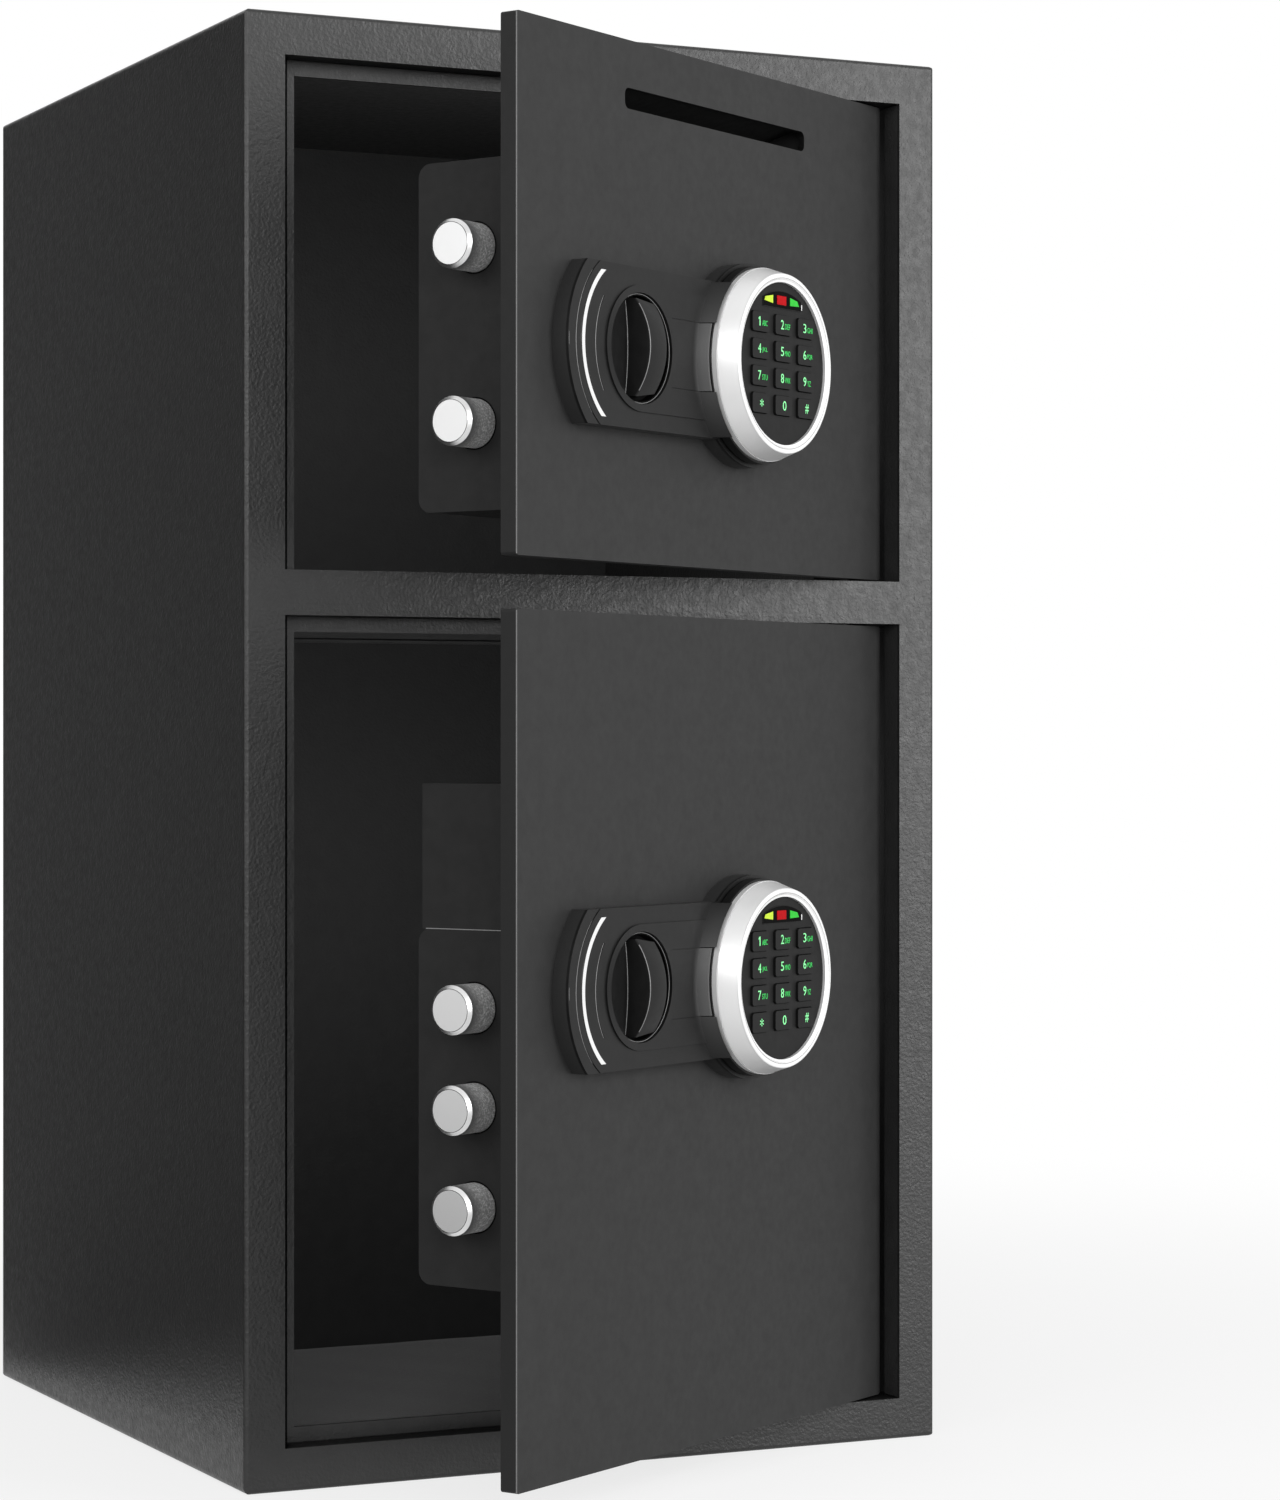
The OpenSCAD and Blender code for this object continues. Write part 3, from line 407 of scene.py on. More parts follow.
# %% From a door's drawing to its place
OPEN_ANGLE = math.radians(30)
HINGE = Vector((131.0, -160.5, 0))
HINGE_U, HINGE_DEPTH = 286.0, 14.0
KEYPAD_U = 172.5
LOCK_Z = {"upper": 497.0, "lower": 224.5}
SLOT_U, SLOT_Z = 156.0, 605.0
ALONG = Vector((math.cos(OPEN_ANGLE), math.sin(OPEN_ANGLE), 0))
OUTWARD = Vector((math.sin(OPEN_ANGLE), -math.cos(OPEN_ANGLE), 0))

def lock_matrix(side):
    """Takes (along the door, up from the lock's middle, height above the face) in mm to metres."""
    corner = HINGE - ALONG * HINGE_U + OUTWARD * HINGE_DEPTH + Vector((0, 0, LOCK_Z[side]))
    axes = Matrix((ALONG, (0, 0, 1), OUTWARD)).transposed().to_4x4()
    return Matrix.Scale(MM, 4) @ Matrix.Translation(corner) @ axes

spot = lock_matrix("upper") @ Vector((KEYPAD_U, 0, 26))
print("middle of the upper keypad:", [round(v / MM, 1) for v in spot])

# %% Where a point of a piece lies on its door
def along_direction(tree, direction, start_mm):
    """A value in metres: how far a point lies along a direction, from a start."""
    reach = tree.nodes.new("ShaderNodeVectorMath")
    reach.operation = "DOT_PRODUCT"
    reach.inputs[1].default_value = direction
    tree.links.new(object_place(tree), reach.inputs[0])
    return math_node(tree, "SUBTRACT", reach.outputs["Value"], start_mm * MM)

def along_door(tree):
    """How far a point lies from the open door's free edge."""
    return along_direction(tree, ALONG, HINGE.dot(ALONG) - HINGE_U)

def above_door(tree):
    """How far a point stands out from the open door's face."""
    return along_direction(tree, OUTWARD, HINGE.dot(OUTWARD) + HINGE_DEPTH)

def frame_place(tree):
    """A point's X, Y and Z."""
    place = tree.nodes.new("ShaderNodeSeparateXYZ")
    tree.links.new(object_place(tree), place.inputs[0])
    return place.outputs

def step_between(tree, value, start_mm, end_mm, low=0.0, high=1.0):
    """Goes softly from low to high between two places."""
    return map_range(tree, value, start_mm * MM, end_mm * MM, low, high, smooth=True)

def close_to(tree, value, place_mm, reach_mm):
    """1 where the value lies within reach of a place, else 0."""
    compared = math_node(tree, "COMPARE", value, place_mm * MM)
    compared.node.inputs[2].default_value = reach_mm * MM
    return compared

print("masks by place ready")

# %% A second colour where a mask says so
def blend(tree, mask, first, second):
    """The first colour where the mask is 0, the second where it is 1; either may be an output."""
    mix = tree.nodes.new("ShaderNodeMix")
    mix.data_type = "RGBA"
    tree.links.new(mask, mix.inputs["Factor"])
    for name, colour in (("A", first), ("B", second)):
        if isinstance(colour, tuple):
            mix.inputs[name].default_value = (*colour, 1)
        else:
            tree.links.new(colour, mix.inputs[name])
    return mix.outputs["Result"]

def tint_where(material, mask, colour):
    """Blends another colour over the finish's own where the mask is 1."""
    tree = material.node_tree
    base = principled(material).inputs["Base Color"]
    tree.links.new(blend(tree, mask, base.links[0].from_socket, colour), base)

print("tints ready")

# %% [markdown]
# ## Painted highlight on the collar
# Where the plate rises to the keypad, a paler colour paints the highlight that the slope catches, most
# of all in the channel between the two seams. A mask by place does it: how far a point is from the
# keypad's middle, and how far above or below the lock's middle. The plate's upright wall gets a paler
# colour too, painted light on that shaded side.

# %% Painted highlight at the collar and painted light on the wall
PLATE_HALF = 34.5
COLLAR_FAR, COLLAR_NEAR = 52.0, 45.0
CHANNEL = ((0.42, (1, 1, 1)), (1.0, (0, 0, 0)), (0.45, (0.45, 0.45, 0.45)))
WALL_FOOT, WALL_TOP = 6.4, 7.0

tree = plate_plastic.node_tree
height = frame_place(tree)["Z"]
off = [math_node(tree, "ABSOLUTE", math_node(tree, "SUBTRACT", height, z * MM))
       for z in LOCK_Z.values()]
off_middle = math_node(tree, "MINIMUM", *off)
in_channel = colour_ramp(tree, math_node(tree, "DIVIDE", off_middle, PLATE_HALF * MM), *CHANNEL)
from_keypad = tree.nodes.new("ShaderNodeCombineXYZ")
tree.links.new(math_node(tree, "SUBTRACT", along_door(tree), KEYPAD_U * MM), from_keypad.inputs["X"])
tree.links.new(off_middle, from_keypad.inputs["Y"])
collar_highlight = step_between(tree, length_of(tree, from_keypad.outputs[0]), COLLAR_FAR, COLLAR_NEAR)
# Painted highlight: paler plastic on the collar's slope, most of all in the channel.
tint_where(plate_plastic, math_node(tree, "MULTIPLY", collar_highlight, in_channel), grey(84))
# Painted light: paler plastic on the plate's shaded upright wall.
tint_where(plate_plastic, step_between(tree, above_door(tree), WALL_FOOT, WALL_TOP, 1.0, 0.0), grey(46))
print("collar and wall masks on:", plate_plastic.name)

# %% [markdown]
# ## Painted shade on narrow faces and in narrow places
# Darker colour paints the shade that falls on narrow faces and in narrow places: a door's edge face, the
# flat channels above and below a door, the corner beside the stop lip and the inside of the drop slot.
# Each is told apart from the rest of its piece by place alone, so no piece has to be cut up for it.

# %% Painted shade on the doors' edge faces and in the slot
SLOT_ZONE = {"along": (SLOT_U, 78), "above": (-1.7, 1.45), "up": (SLOT_Z, 4.9)}

tree = door_coat.node_tree
# Painted shade on each door's free edge face.
tint_where(door_coat, step_between(tree, along_door(tree), 0.1, 0.5, 1.0, 0.0), grey(32))
in_slot = close_to(tree, frame_place(tree)["Z"], *SLOT_ZONE["up"])
for value, zone in ((along_door(tree), "along"), (above_door(tree), "above")):
    in_slot = math_node(tree, "MULTIPLY", in_slot, close_to(tree, value, *SLOT_ZONE[zone]))
# Painted shade inside the drop slot.
tint_where(door_coat, in_slot, grey(8))
print("edge and slot masks on:", door_coat.name)

# %% Painted shade in the channels and beside the stop lip
CHANNEL_LEVELS, CHANNEL_REACH = (19, 385, 631), 0.4
CORNER_START, CORNER_END = -150.5, -150.0

tree = lining_coat.node_tree
place = frame_place(tree)
in_corner = step_between(tree, place["X"], CORNER_START, CORNER_END, 1.0, 0.0)
in_channel = in_corner
for level in CHANNEL_LEVELS:
    in_channel = math_node(tree, "ADD", in_channel, close_to(tree, place["Z"], level, CHANNEL_REACH))
# Painted shade in the channels round the doors and in the corner beside the stop lip.
tint_where(lining_coat, in_channel, grey(10))
# The painted shade beside the stop lip is made metal as well: a dark metal mirrors as little as it
# scatters, so the corner stays dark from every side.
tree.links.new(in_corner, principled(lining_coat).inputs["Metallic"])
print("channel and corner masks on:", lining_coat.name)

# %% [markdown]
# ## From a drawing to a piece
# Most small pieces start as a drawing: a flat outline that gets a thickness, or a line that gets a
# round section. A curve object does both and softens the edges too, which extruding a mesh by hand
# would not. The curve is turned into a mesh, moved to its door and handed to the body it rides on.

# %% Turning a drawing into a piece
def add_piece(name, mesh, material, body, smooth=35):
    """Puts a mesh in the scene as a named piece that rides on a body."""
    mesh.materials.clear()
    mesh.materials.append(material)
    for face in mesh.polygons:
        face.use_smooth = True
    mesh.set_sharp_from_angle(angle=math.radians(smooth))
    piece = put_in_scene(name, mesh)
    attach(piece, body)
    return piece

def add_to_door(side, name, mesh, material, body, smooth=35):
    """Takes a mesh from the door's drawing to its place, as a piece of that door."""
    mesh.transform(lock_matrix(side))
    return add_piece(f"{side}_{name}", mesh, material, f"{side}_{body}", smooth)

def shifted(mesh, *offset):
    mesh.transform(Matrix.Translation(offset))
    return mesh

def mesh_of(thing):
    """The mesh that an object makes with its curve settings or modifiers."""
    bpy.context.view_layer.update()
    ready = thing.evaluated_get(bpy.context.evaluated_depsgraph_get())
    mesh = bpy.data.meshes.new_from_object(ready)
    bpy.data.objects.remove(thing)
    return mesh

print("piece helpers ready")

# %% Drawings with a thickness, and beads along a line
def flat_curve(outline, thickness, edge=0.0):
    """A filled flat drawing with a thickness and a softened edge, all in mm."""
    curve = bpy.data.curves.new("drawing", "CURVE")
    curve.dimensions = "2D"
    curve.fill_mode = "BOTH"
    curve.extrude = thickness / 2 - edge
    curve.bevel_depth = edge
    curve.bevel_resolution = 2
    curve.offset = -edge
    spline = curve.splines.new("POLY")
    spline.points.add(len(outline) - 1)
    for point, (x, y) in zip(spline.points, outline):
        point.co = (x, y, 0, 1)
    spline.use_cyclic_u = True
    return mesh_of(put_in_scene("drawing", curve))

def bead_mesh(points, radius, end_share=1.0):
    """A round bead along a line of points, in mm. Its ends can be a smaller share of the radius."""
    curve = bpy.data.curves.new("drawing", "CURVE")
    curve.dimensions = "3D"
    curve.bevel_depth = radius
    curve.bevel_resolution = 3
    curve.use_fill_caps = True
    spline = curve.splines.new("POLY")
    spline.points.add(len(points) - 1)
    for i, (point, place) in enumerate(zip(spline.points, points)):
        point.co = (*place, 1)
        point.radius = end_share + (1 - end_share) * math.sin(math.pi * i / (len(points) - 1))
    return mesh_of(put_in_scene("drawing", curve))

def circle(radius, count):
    """Points round a circle, with the first one again at the end."""
    turns = [2 * math.pi * i / count for i in range(count + 1)]
    return [(radius * math.cos(t), radius * math.sin(t)) for t in turns]

def join_meshes(parts):
    shape = bmesh.new()
    for part in parts:
        shape.from_mesh(part)
    return finished_mesh("joined", shape)

print("drawing helpers ready")

# %% [markdown]
# ## Softened edges on the CAD parts
# No folded or moulded edge is perfectly sharp. Where a CAD part has the right shape, it stays, and two
# modifiers soften it: one joins the flat triangles into whole faces, the other rounds the edges
# between them. The mesh itself isn't touched, so the part is still the one in model.glb.

# %% Dress a CAD part
FLAT_DEGREES, EDGE_DEGREES = 0.4, 32

def dress(name, material, edge_mm=0.0, segments=2):
    part = nodes[name]
    if not part.material_slots:
        part.data.materials.append(material)
    part.material_slots[0].link = "OBJECT"
    part.material_slots[0].material = material
    if edge_mm:
        join = part.modifiers.new("join_flats", "DECIMATE")
        join.decimate_type = "DISSOLVE"
        join.angle_limit = math.radians(FLAT_DEGREES)
        soften = part.modifiers.new("soften", "BEVEL")
        soften.width = edge_mm * MM
        soften.segments = segments
        soften.limit_method = "ANGLE"
        soften.angle_limit = math.radians(EDGE_DEGREES)
        soften.use_clamp_overlap = True
        level = part.modifiers.new("even_normals", "WEIGHTED_NORMAL")
        level.mode = "FACE_AREA"
        level.keep_sharp = False

print("edges over", EDGE_DEGREES, "degrees get rounded")

# %% The CAD parts' finishes
CABINET_PARTS = {
    "body_shell": (cabinet_coat, 0.5), "back_panel": (cabinet_coat, 0.5),
    "door_frames": (lining_coat, 0.3), "divider_shelf": (lining_coat, 0.3),
    "hinge_pins": (blacked_steel, 0.25), "upper_deposit_chute": (box_coat, 0.0),
    "lower_battery_box": (box_coat, 0.5),
}
DOOR_PARTS = {
    "door_panel": (door_coat, 0.45), "lock_box": (box_coat, 0.5), "lock_plate": (plate_plastic, 0.35),
    "accent_strip": (strip_chrome, 0.0), "keypad_housing": (housing_plastic, 0.6),
    "keypad_bezel": (silver_lacquer, 0.0), "keypad_face": (face_plastic, 0.15),
    "key_cylinder": (plug_brass, 0.2), "cover_screws": (zinc, 0.2), "bolt_carriage": (zinc, 0.2),
    "solenoid": (zinc, 0.2), "plunger": (zinc, 0.2),
}
for name, (material, edge_mm) in CABINET_PARTS.items():
    dress(name, material, edge_mm)
for side in SIDES:
    for name, (material, edge_mm) in DOOR_PARTS.items():
        dress(f"{side}_{name}", material, edge_mm)
print("dressed:", len(CABINET_PARTS) + len(SIDES) * len(DOOR_PARTS))

# %% [markdown]
# ## Bolts
# A safe bolt is a steel bar. Its end face is turned and plated bright, and the barrel behind it keeps
# a rough skin. One material does both: it measures how far a point lies along the door and changes
# from plating to skin a little behind the end. Right behind the plated end the barrel is darker, a
# painted shade, and further back pale speckles are painted glints on the rough skin.

# %% Bolt finish
BOLT_TIP_U = 12.0
PLATED, BARREL_PAINTED_SHADE = grey(226), grey(112)
PAINTED_GLINT_SPECKLE = ((0.42, grey(176)), (0.7, grey(255)))
BARREL_METAL = 0.05
SKIN_STEP = (BOLT_TIP_U + 1.4, BOLT_TIP_U + 2.0)
PAINTED_GLINT_STEP = (BOLT_TIP_U + 1, BOLT_TIP_U + 12)

bolt_metal = new_finish("bolt_finish", PLATED, 0.34, specular=0.6)
tree = bolt_metal.node_tree
shader = principled(bolt_metal)
behind = step_between(tree, along_door(tree), *SKIN_STEP)
further = step_between(tree, along_door(tree), *PAINTED_GLINT_STEP)
# Painted shade right behind the plated end, turning further back into pale speckles that paint glints.
barrel = blend(tree, further, BARREL_PAINTED_SHADE, colour_ramp(tree, noise_at(tree, 0.9), *PAINTED_GLINT_SPECKLE))
tree.links.new(blend(tree, behind, PLATED, barrel), shader.inputs["Base Color"])
tree.links.new(map_range(tree, behind, low=1.0, high=BARREL_METAL), shader.inputs["Metallic"])
bump = tree.nodes.new("ShaderNodeBump")
bump.inputs["Distance"].default_value = 0.2 * MM
tree.links.new(math_node(tree, "MULTIPLY", noise_at(tree, 0.7), behind), bump.inputs["Height"])
tree.links.new(bump.outputs[0], shader.inputs["Normal"])
for side in SIDES:
    dress(side + "_bolts", bolt_metal, 0.25)
print("bolts dressed:", len(SIDES))

# %% [markdown]
# ## Keys and their green characters
# Each key is a low cap with soft corners. The characters are cut from text as thin meshes, a digit and
# smaller letters beside it, as on any telephone. Each label is its own piece, so that it travels with
# its key when the key is pressed.

# %% Glowing finishes
KEY_TEXT = {"1": "ABC", "2": "DEF", "3": "GHI", "4": "JKL", "5": "MNO", "6": "PQR",
            "7": "STU", "8": "VWX", "9": "YZ", "star": "", "0": "", "hash": ""}
KEY_MARK = {"star": "*", "hash": "#"}
INK = dict(glow=0.3, roughness=0.5, shine=0.1, shares=(0.85, 1.15), drift_mm=1.5)

def glowing(name, colour, glow, roughness, shine, shares, drift_mm):
    """A surface that glows a little. Its colour drifts between two shares of itself."""
    finish = new_finish(name, colour, roughness, specular=shine)
    principled(finish).inputs["Emission Color"].default_value = (*colour, 1)
    principled(finish).inputs["Emission Strength"].default_value = glow
    dark, light = (tuple(min(1, share * c) for c in colour) for share in shares)
    drift_colour(finish, dark, light, drift_mm)
    return finish

letter_green = glowing("letter_green", (0.05, 0.52, 0.11), **INK)
digit_green = glowing("digit_green", (0.24, 0.78, 0.33), **INK)
for side in SIDES:
    for key in KEY_TEXT:
        dress(f"{side}_key_{key}", key_plastic, 0.45, 3)
print("keys dressed:", len(SIDES) * len(KEY_TEXT))

# %% Characters
INK_MM = 0.08

def text_mesh(words, width, height, x, y):
    """Words as a thin mesh, fitted to a size in mm, with x and y as its lower left corner."""
    text = bpy.data.curves.new("label", "FONT")
    text.body = words
    text.extrude = 0.01
    text.resolution_u = 3
    mesh = mesh_of(put_in_scene("label", text))
    low = Vector([min(v.co[i] for v in mesh.vertices) for i in range(3)])
    high = Vector([max(v.co[i] for v in mesh.vertices) for i in range(3)])
    size = high - low
    fit = Matrix.Diagonal((width / size.x, height / size.y, INK_MM / size.z, 1))
    mesh.transform(Matrix.Translation((x, y, 0)) @ fit @ Matrix.Translation(-low))
    return mesh

def digit_one(x, y):
    """The digit one, given as an outline: stretched to the others' width, the font's would be a thick
    bar.
    """
    outline = [(0.75, 0), (1.45, 0), (1.45, 4.1), (0.95, 4.1), (0, 3.4), (0, 2.7), (0.75, 3.1)]
    return shifted(flat_curve(outline, INK_MM), x, y, INK_MM / 2)

print("letters:", sum(len(letters) for letters in KEY_TEXT.values()))

# %% Key labels
KEY_TOP = 24.2
COLUMN_MM, ROW_MM, ROWS_UP = 19.4, 11.9, -0.8
DIGIT_SIZE, DIGIT_AT, ONE_AT = (2.5, 4.1), (-2.5, -1.9), (-2.1, -1.9)
LETTER_SIZE, LETTERS_AT = (1.5, 2.4), (0.9, -1.7)
MARK_WIDE, MARK_AT_X = 3.0, -0.9
MARK_TALL = {"star": 3.4, "0": 4.2, "hash": 4.2}

def characters(key):
    """The meshes of a key's digit or mark and of its letters, round the key's middle."""
    letters = KEY_TEXT[key]
    if not letters:
        tall = MARK_TALL[key]
        return [text_mesh(KEY_MARK.get(key, key), MARK_WIDE, tall, MARK_AT_X, -tall / 2)]
    digit = digit_one(*ONE_AT) if key == "1" else text_mesh(key, *DIGIT_SIZE, *DIGIT_AT)
    wide, tall = LETTER_SIZE
    return [digit, text_mesh(letters, wide * len(letters), tall, *LETTERS_AT)]

def key_label(side, index, key):
    column, row = index % 3, index // 3
    parts = characters(key)
    mesh = shifted(join_meshes(parts), KEYPAD_U + (column - 1) * COLUMN_MM,
                   ROWS_UP + (1.5 - row) * ROW_MM, KEY_TOP)
    label = add_to_door(side, "label_" + key, mesh, letter_green, "key_" + key)
    mesh.materials.append(digit_green)
    for face in mesh.polygons[:len(parts[0].polygons)]:
        face.material_index = 1
    return label

labels = [key_label(side, i, key) for side in SIDES for i, key in enumerate(KEY_TEXT)]
print("labels:", len(labels))

# %% [markdown]
# ## Signal lamps
# Above the keys is a glossy black window with three small lamps: yellow, red and green. The window is a
# thin film with a flat foot and an arched top. The lamps are coloured lenses with slanted sides that
# glow a little, so each is a flat drawing with a soft edge. A small white mark at the film's end is a
# painted glint.

# %% Lamps in the window
WINDOW = dict(half=16.0, foot=24.7, top=32.0, radius=39.8)
FILM_HEIGHT, GLINT_HEIGHT, LENS_HEIGHT = 23.45, 23.14, 23.62
LENS_UP = 27.9
GLINT_OUTLINE = [(16.9, 25.2), (17.5, 25.2), (17.5, 27.6), (16.9, 27.6)]
LENSES = {
    "yellow": ((0.56, 0.76, 0.06), [(-15.6, -0.9), (-8.4, -1.7), (-8.4, 1.9), (-14.8, 0.8)]),
    "red": ((0.44, 0.001, 0.004), [(-4.9, -1.9), (2.9, -1.9), (2.9, 2.1), (-4.9, 2.1)]),
    "green": ((0.04, 0.52, 0.05), [(6.3, -1.7), (13.9, -1.4), (12.4, 0.8), (6.3, 1.9)]),
}
GLASS = dict(glow=0.05, roughness=0.35, shine=0.06, shares=(0.8, 1), drift_mm=1.2)

def window_outline(half, foot, top, radius):
    """A low arch: a flat foot, short upright ends and an arc above, from left to right."""
    middle = top - radius
    arc = [half - 2 * half * i / 24 for i in range(25)]
    return [(-half, foot), (half, foot)] + [(x, middle + math.sqrt(radius ** 2 - x * x)) for x in arc]

# A white finish for the painted glint at the end of the window film.
painted_glint_white = new_finish("painted_glint_white", grey(235), 0.4)
drift_colour(painted_glint_white, grey(225), grey(245), 1.0)
for side in SIDES:
    film = shifted(flat_curve(window_outline(**WINDOW), 0.2, 0.06), KEYPAD_U, 0, FILM_HEIGHT)
    add_to_door(side, "lamp_window", film, window_plastic, "keypad")
    # The painted glint at the film's end.
    glint_mesh = shifted(flat_curve(GLINT_OUTLINE, 0.12, 0.03), KEYPAD_U, 0, GLINT_HEIGHT)
    add_to_door(side, "window_painted_glint", glint_mesh, painted_glint_white, "keypad")
for name, (colour, outline) in LENSES.items():
    glass = glowing("lens_" + name, colour, **GLASS)
    for side in SIDES:
        lens = shifted(flat_curve(outline, 0.3, 0.08), KEYPAD_U, LENS_UP, LENS_HEIGHT)
        add_to_door(side, "lens_" + name, lens, glass, "keypad")
print("windows:", len(SIDES), "lenses:", len(SIDES) * len(LENSES))

# %% [markdown]
# ## The bezel's fine line
# The flat front of the bezel has a hair-thin turned groove that reads as a grey ring. A thin grey bead
# laid in its place gives the same ring without cutting the CAD part; its grey is the groove's painted
# shade.

# %% Bezel lines
BEZEL_LINE_R, BEZEL_FRONT = 37.9, 25.2
groove_shade_grey = plated("bezel_groove_shade", 168, 0.4, 8, 4)

for side in SIDES:
    # The grey bead paints the shade of the bezel's groove.
    ring = bead_mesh([(x, y, BEZEL_FRONT) for x, y in circle(BEZEL_LINE_R, 96)], 0.13)
    add_to_door(side, "bezel_line", shifted(ring, KEYPAD_U, 0, 0), groove_shade_grey, "keypad")
print("bezel lines:", len(SIDES))

# %% [markdown]
# ## Ridges on the lock plate
# Fine moulded lines run beside the bright strip. They catch the light as thin pale arcs. A round bead
# along an arc gives that edge better than a painted line, because it also works from other angles; its
# pale plastic is a painted highlight.

# %% Ridges
# Each has the middle and radius of its arc, how far it goes up and down, its height and its thickness.
RIDGES = ((74.0, 47.3, 10.0, 7.75, 0.28), (74.9, 42.9, 30.0, 7.8, 0.2), (81.6, 35.1, 25.0, 7.8, 0.26))
RIDGE_END_SHARE = 0.3

def arc_points(middle, radius, half_up, height, count=40):
    """Points on the left side of a circle, up to half_up above and below its middle."""
    turn = math.asin(min(1.0, half_up / radius))
    steps = [turn * (2 * i / (count - 1) - 1) for i in range(count)]
    return [(middle - radius * math.cos(a), radius * math.sin(a), height) for a in steps]

for side in SIDES:
    for number, (*arc, thick) in enumerate(RIDGES):
        ridge = bead_mesh(arc_points(*arc), thick, RIDGE_END_SHARE)
        # The ridge's pale plastic is a painted highlight.
        add_to_door(side, f"ridge_{number}", ridge, pale_highlight_plastic, "door")
print("ridges:", len(SIDES) * len(RIDGES))

# %% [markdown]
# ## Knobs
# The knob is a cup with a grip fin across it. The cup is round about its spindle, so it is turned like a
# bowl on a lathe: a profile is spun about the axis. On the side of the free edge a shallow scoop leads
# the fingers to the fin, and on the other side the cup stays deep; the cup's near-black plastic is a
# painted shade. The scoop and the fin are rows of cross-sections skinned together. Thin pale beads on
# the edges are painted highlights.

# %% Spin a profile
def closed_mesh(shape):
    bmesh.ops.recalc_face_normals(shape, faces=shape.faces)
    return finished_mesh("solid", shape)

def spun(profile, segments=96):
    """A profile of (radius, height) points in mm, spun about the height axis."""
    shape = bmesh.new()
    rings = []
    for radius, height in profile:
        places = circle(radius, segments)[:segments] if radius else [(0, 0)]
        rings.append([shape.verts.new((x, y, height)) for x, y in places])
    for inner, outer in zip(rings, rings[1:]):
        for i in range(segments):
            j = (i + 1) % segments
            corners = [inner[i % len(inner)], outer[i % len(outer)],
                       outer[j % len(outer)], inner[j % len(inner)]]
            shape.faces.new(list(dict.fromkeys(corners)))
    return closed_mesh(shape)

print("a spun disc has", len(spun([(0, 0), (1, 0)]).polygons), "faces")

# %% The cup and its spindle
KNOB_U, KNOB_R, CUP_R = 81.0, 23.4, 22.6
CUP_FLOOR, CUP_RIM, CUP_FOOT = 3.2, 7.6, 2.3
RIM_ROUND = 0.4
SPINDLE_R, CAM_R, CAM_TOP, CAM_FOOT = 4, 16, -12, -15
PIN_OUT, PIN_TURN = 12, math.radians(30)
PIN_PROFILE = [(0, -20), (2, -20), (2, -14), (0, -14)]

def cup_profile():
    round_r, round_z = KNOB_R - RIM_ROUND, CUP_RIM - RIM_ROUND
    rim = [(round_r + RIM_ROUND * math.sin(a), round_z + RIM_ROUND * math.cos(a))
           for a in (math.radians(18 * i) for i in range(6))]
    inside = [(0, CUP_FLOOR), (CUP_R - 0.9, CUP_FLOOR), (CUP_R - 0.3, CUP_FLOOR + 0.4),
              (CUP_R, CUP_RIM - 0.2)]
    behind = [(KNOB_R, CUP_FOOT), (SPINDLE_R, CUP_FOOT), (SPINDLE_R, CAM_TOP), (CAM_R, CAM_TOP),
              (CAM_R, CAM_FOOT), (0, CAM_FOOT)]
    return inside + rim + behind

def cup_parts():
    pin = shifted(spun(PIN_PROFILE, 24), PIN_OUT * math.sin(PIN_TURN), PIN_OUT * math.cos(PIN_TURN), 0)
    return [spun(cup_profile()), pin]

print("cup profile points:", len(cup_profile()))

# %% Skin a row of cross-sections
def skinned(rows):
    """A closed solid whose cross-sections are the rows, each a closed loop of points in mm."""
    shape = bmesh.new()
    loops = [[shape.verts.new(point) for point in row] for row in rows]
    for loop, following in zip(loops, loops[1:]):
        for i in range(len(loop)):
            j = (i + 1) % len(loop)
            shape.faces.new((loop[i], loop[j], following[j], following[i]))
    shape.faces.new(loops[0])
    shape.faces.new(loops[-1])
    return closed_mesh(shape)

print("skin helper ready")

# %% The fin
FIN_HALF_T, FIN_HALF, FIN_TOP, FIN_END = 6.8, 21.8, 17.5, 9.0
# The dark crescent is the cup showing, and its darkness is painted shade.
FAR_SHARE, FAR_HALF = 0.91, 20.0    # the far side is slimmer and shorter, which leaves a dark crescent
FIN_ARC = (FIN_HALF ** 2 + (FIN_TOP - FIN_END) ** 2) / (2 * (FIN_TOP - FIN_END))
FOOT_Z = CUP_FOOT + 0.2

def crest(z):
    """Height of the fin's crest above the door."""
    return FIN_TOP - FIN_ARC + math.sqrt(FIN_ARC ** 2 - z * z)

def fin_half_at(u):
    """How far the fin reaches up and down: it ends on the cup's round wall."""
    return math.sqrt((FIN_HALF if u < 0 else FAR_HALF) ** 2 - u * u)

def fin_mesh(round_mm=0.7, steps=40):
    near = [(-FIN_HALF_T, None)]
    for i in range(6):
        a = math.radians(90 - 18 * i)
        near.append((-FIN_HALF_T + round_mm * (1 - math.sin(a)), round_mm * (1 - math.cos(a))))
    across = near + [(-u * FAR_SHARE, drop) for u, drop in reversed(near)]
    rows = []
    for s in range(steps + 1):
        t = -1 + 2 * s / steps
        places = [(u, t * fin_half_at(u), drop) for u, drop in across]
        rows.append([(u, z, FOOT_Z if drop is None else crest(z) - drop) for u, z, drop in places])
    return skinned(rows)

print("crest at the end:", round(crest(21), 2), "mm, at the middle:", round(crest(0), 2), "mm")

# %% The scoop
SCOOP_LOW, SCOOP_SWELL = 4.4, 1.5

def scoop_foot(z):
    """Height at which the scoop meets the fin: it swells a little at the middle."""
    return SCOOP_LOW + SCOOP_SWELL * max(0.0, 1 - (z / FIN_HALF) ** 2)

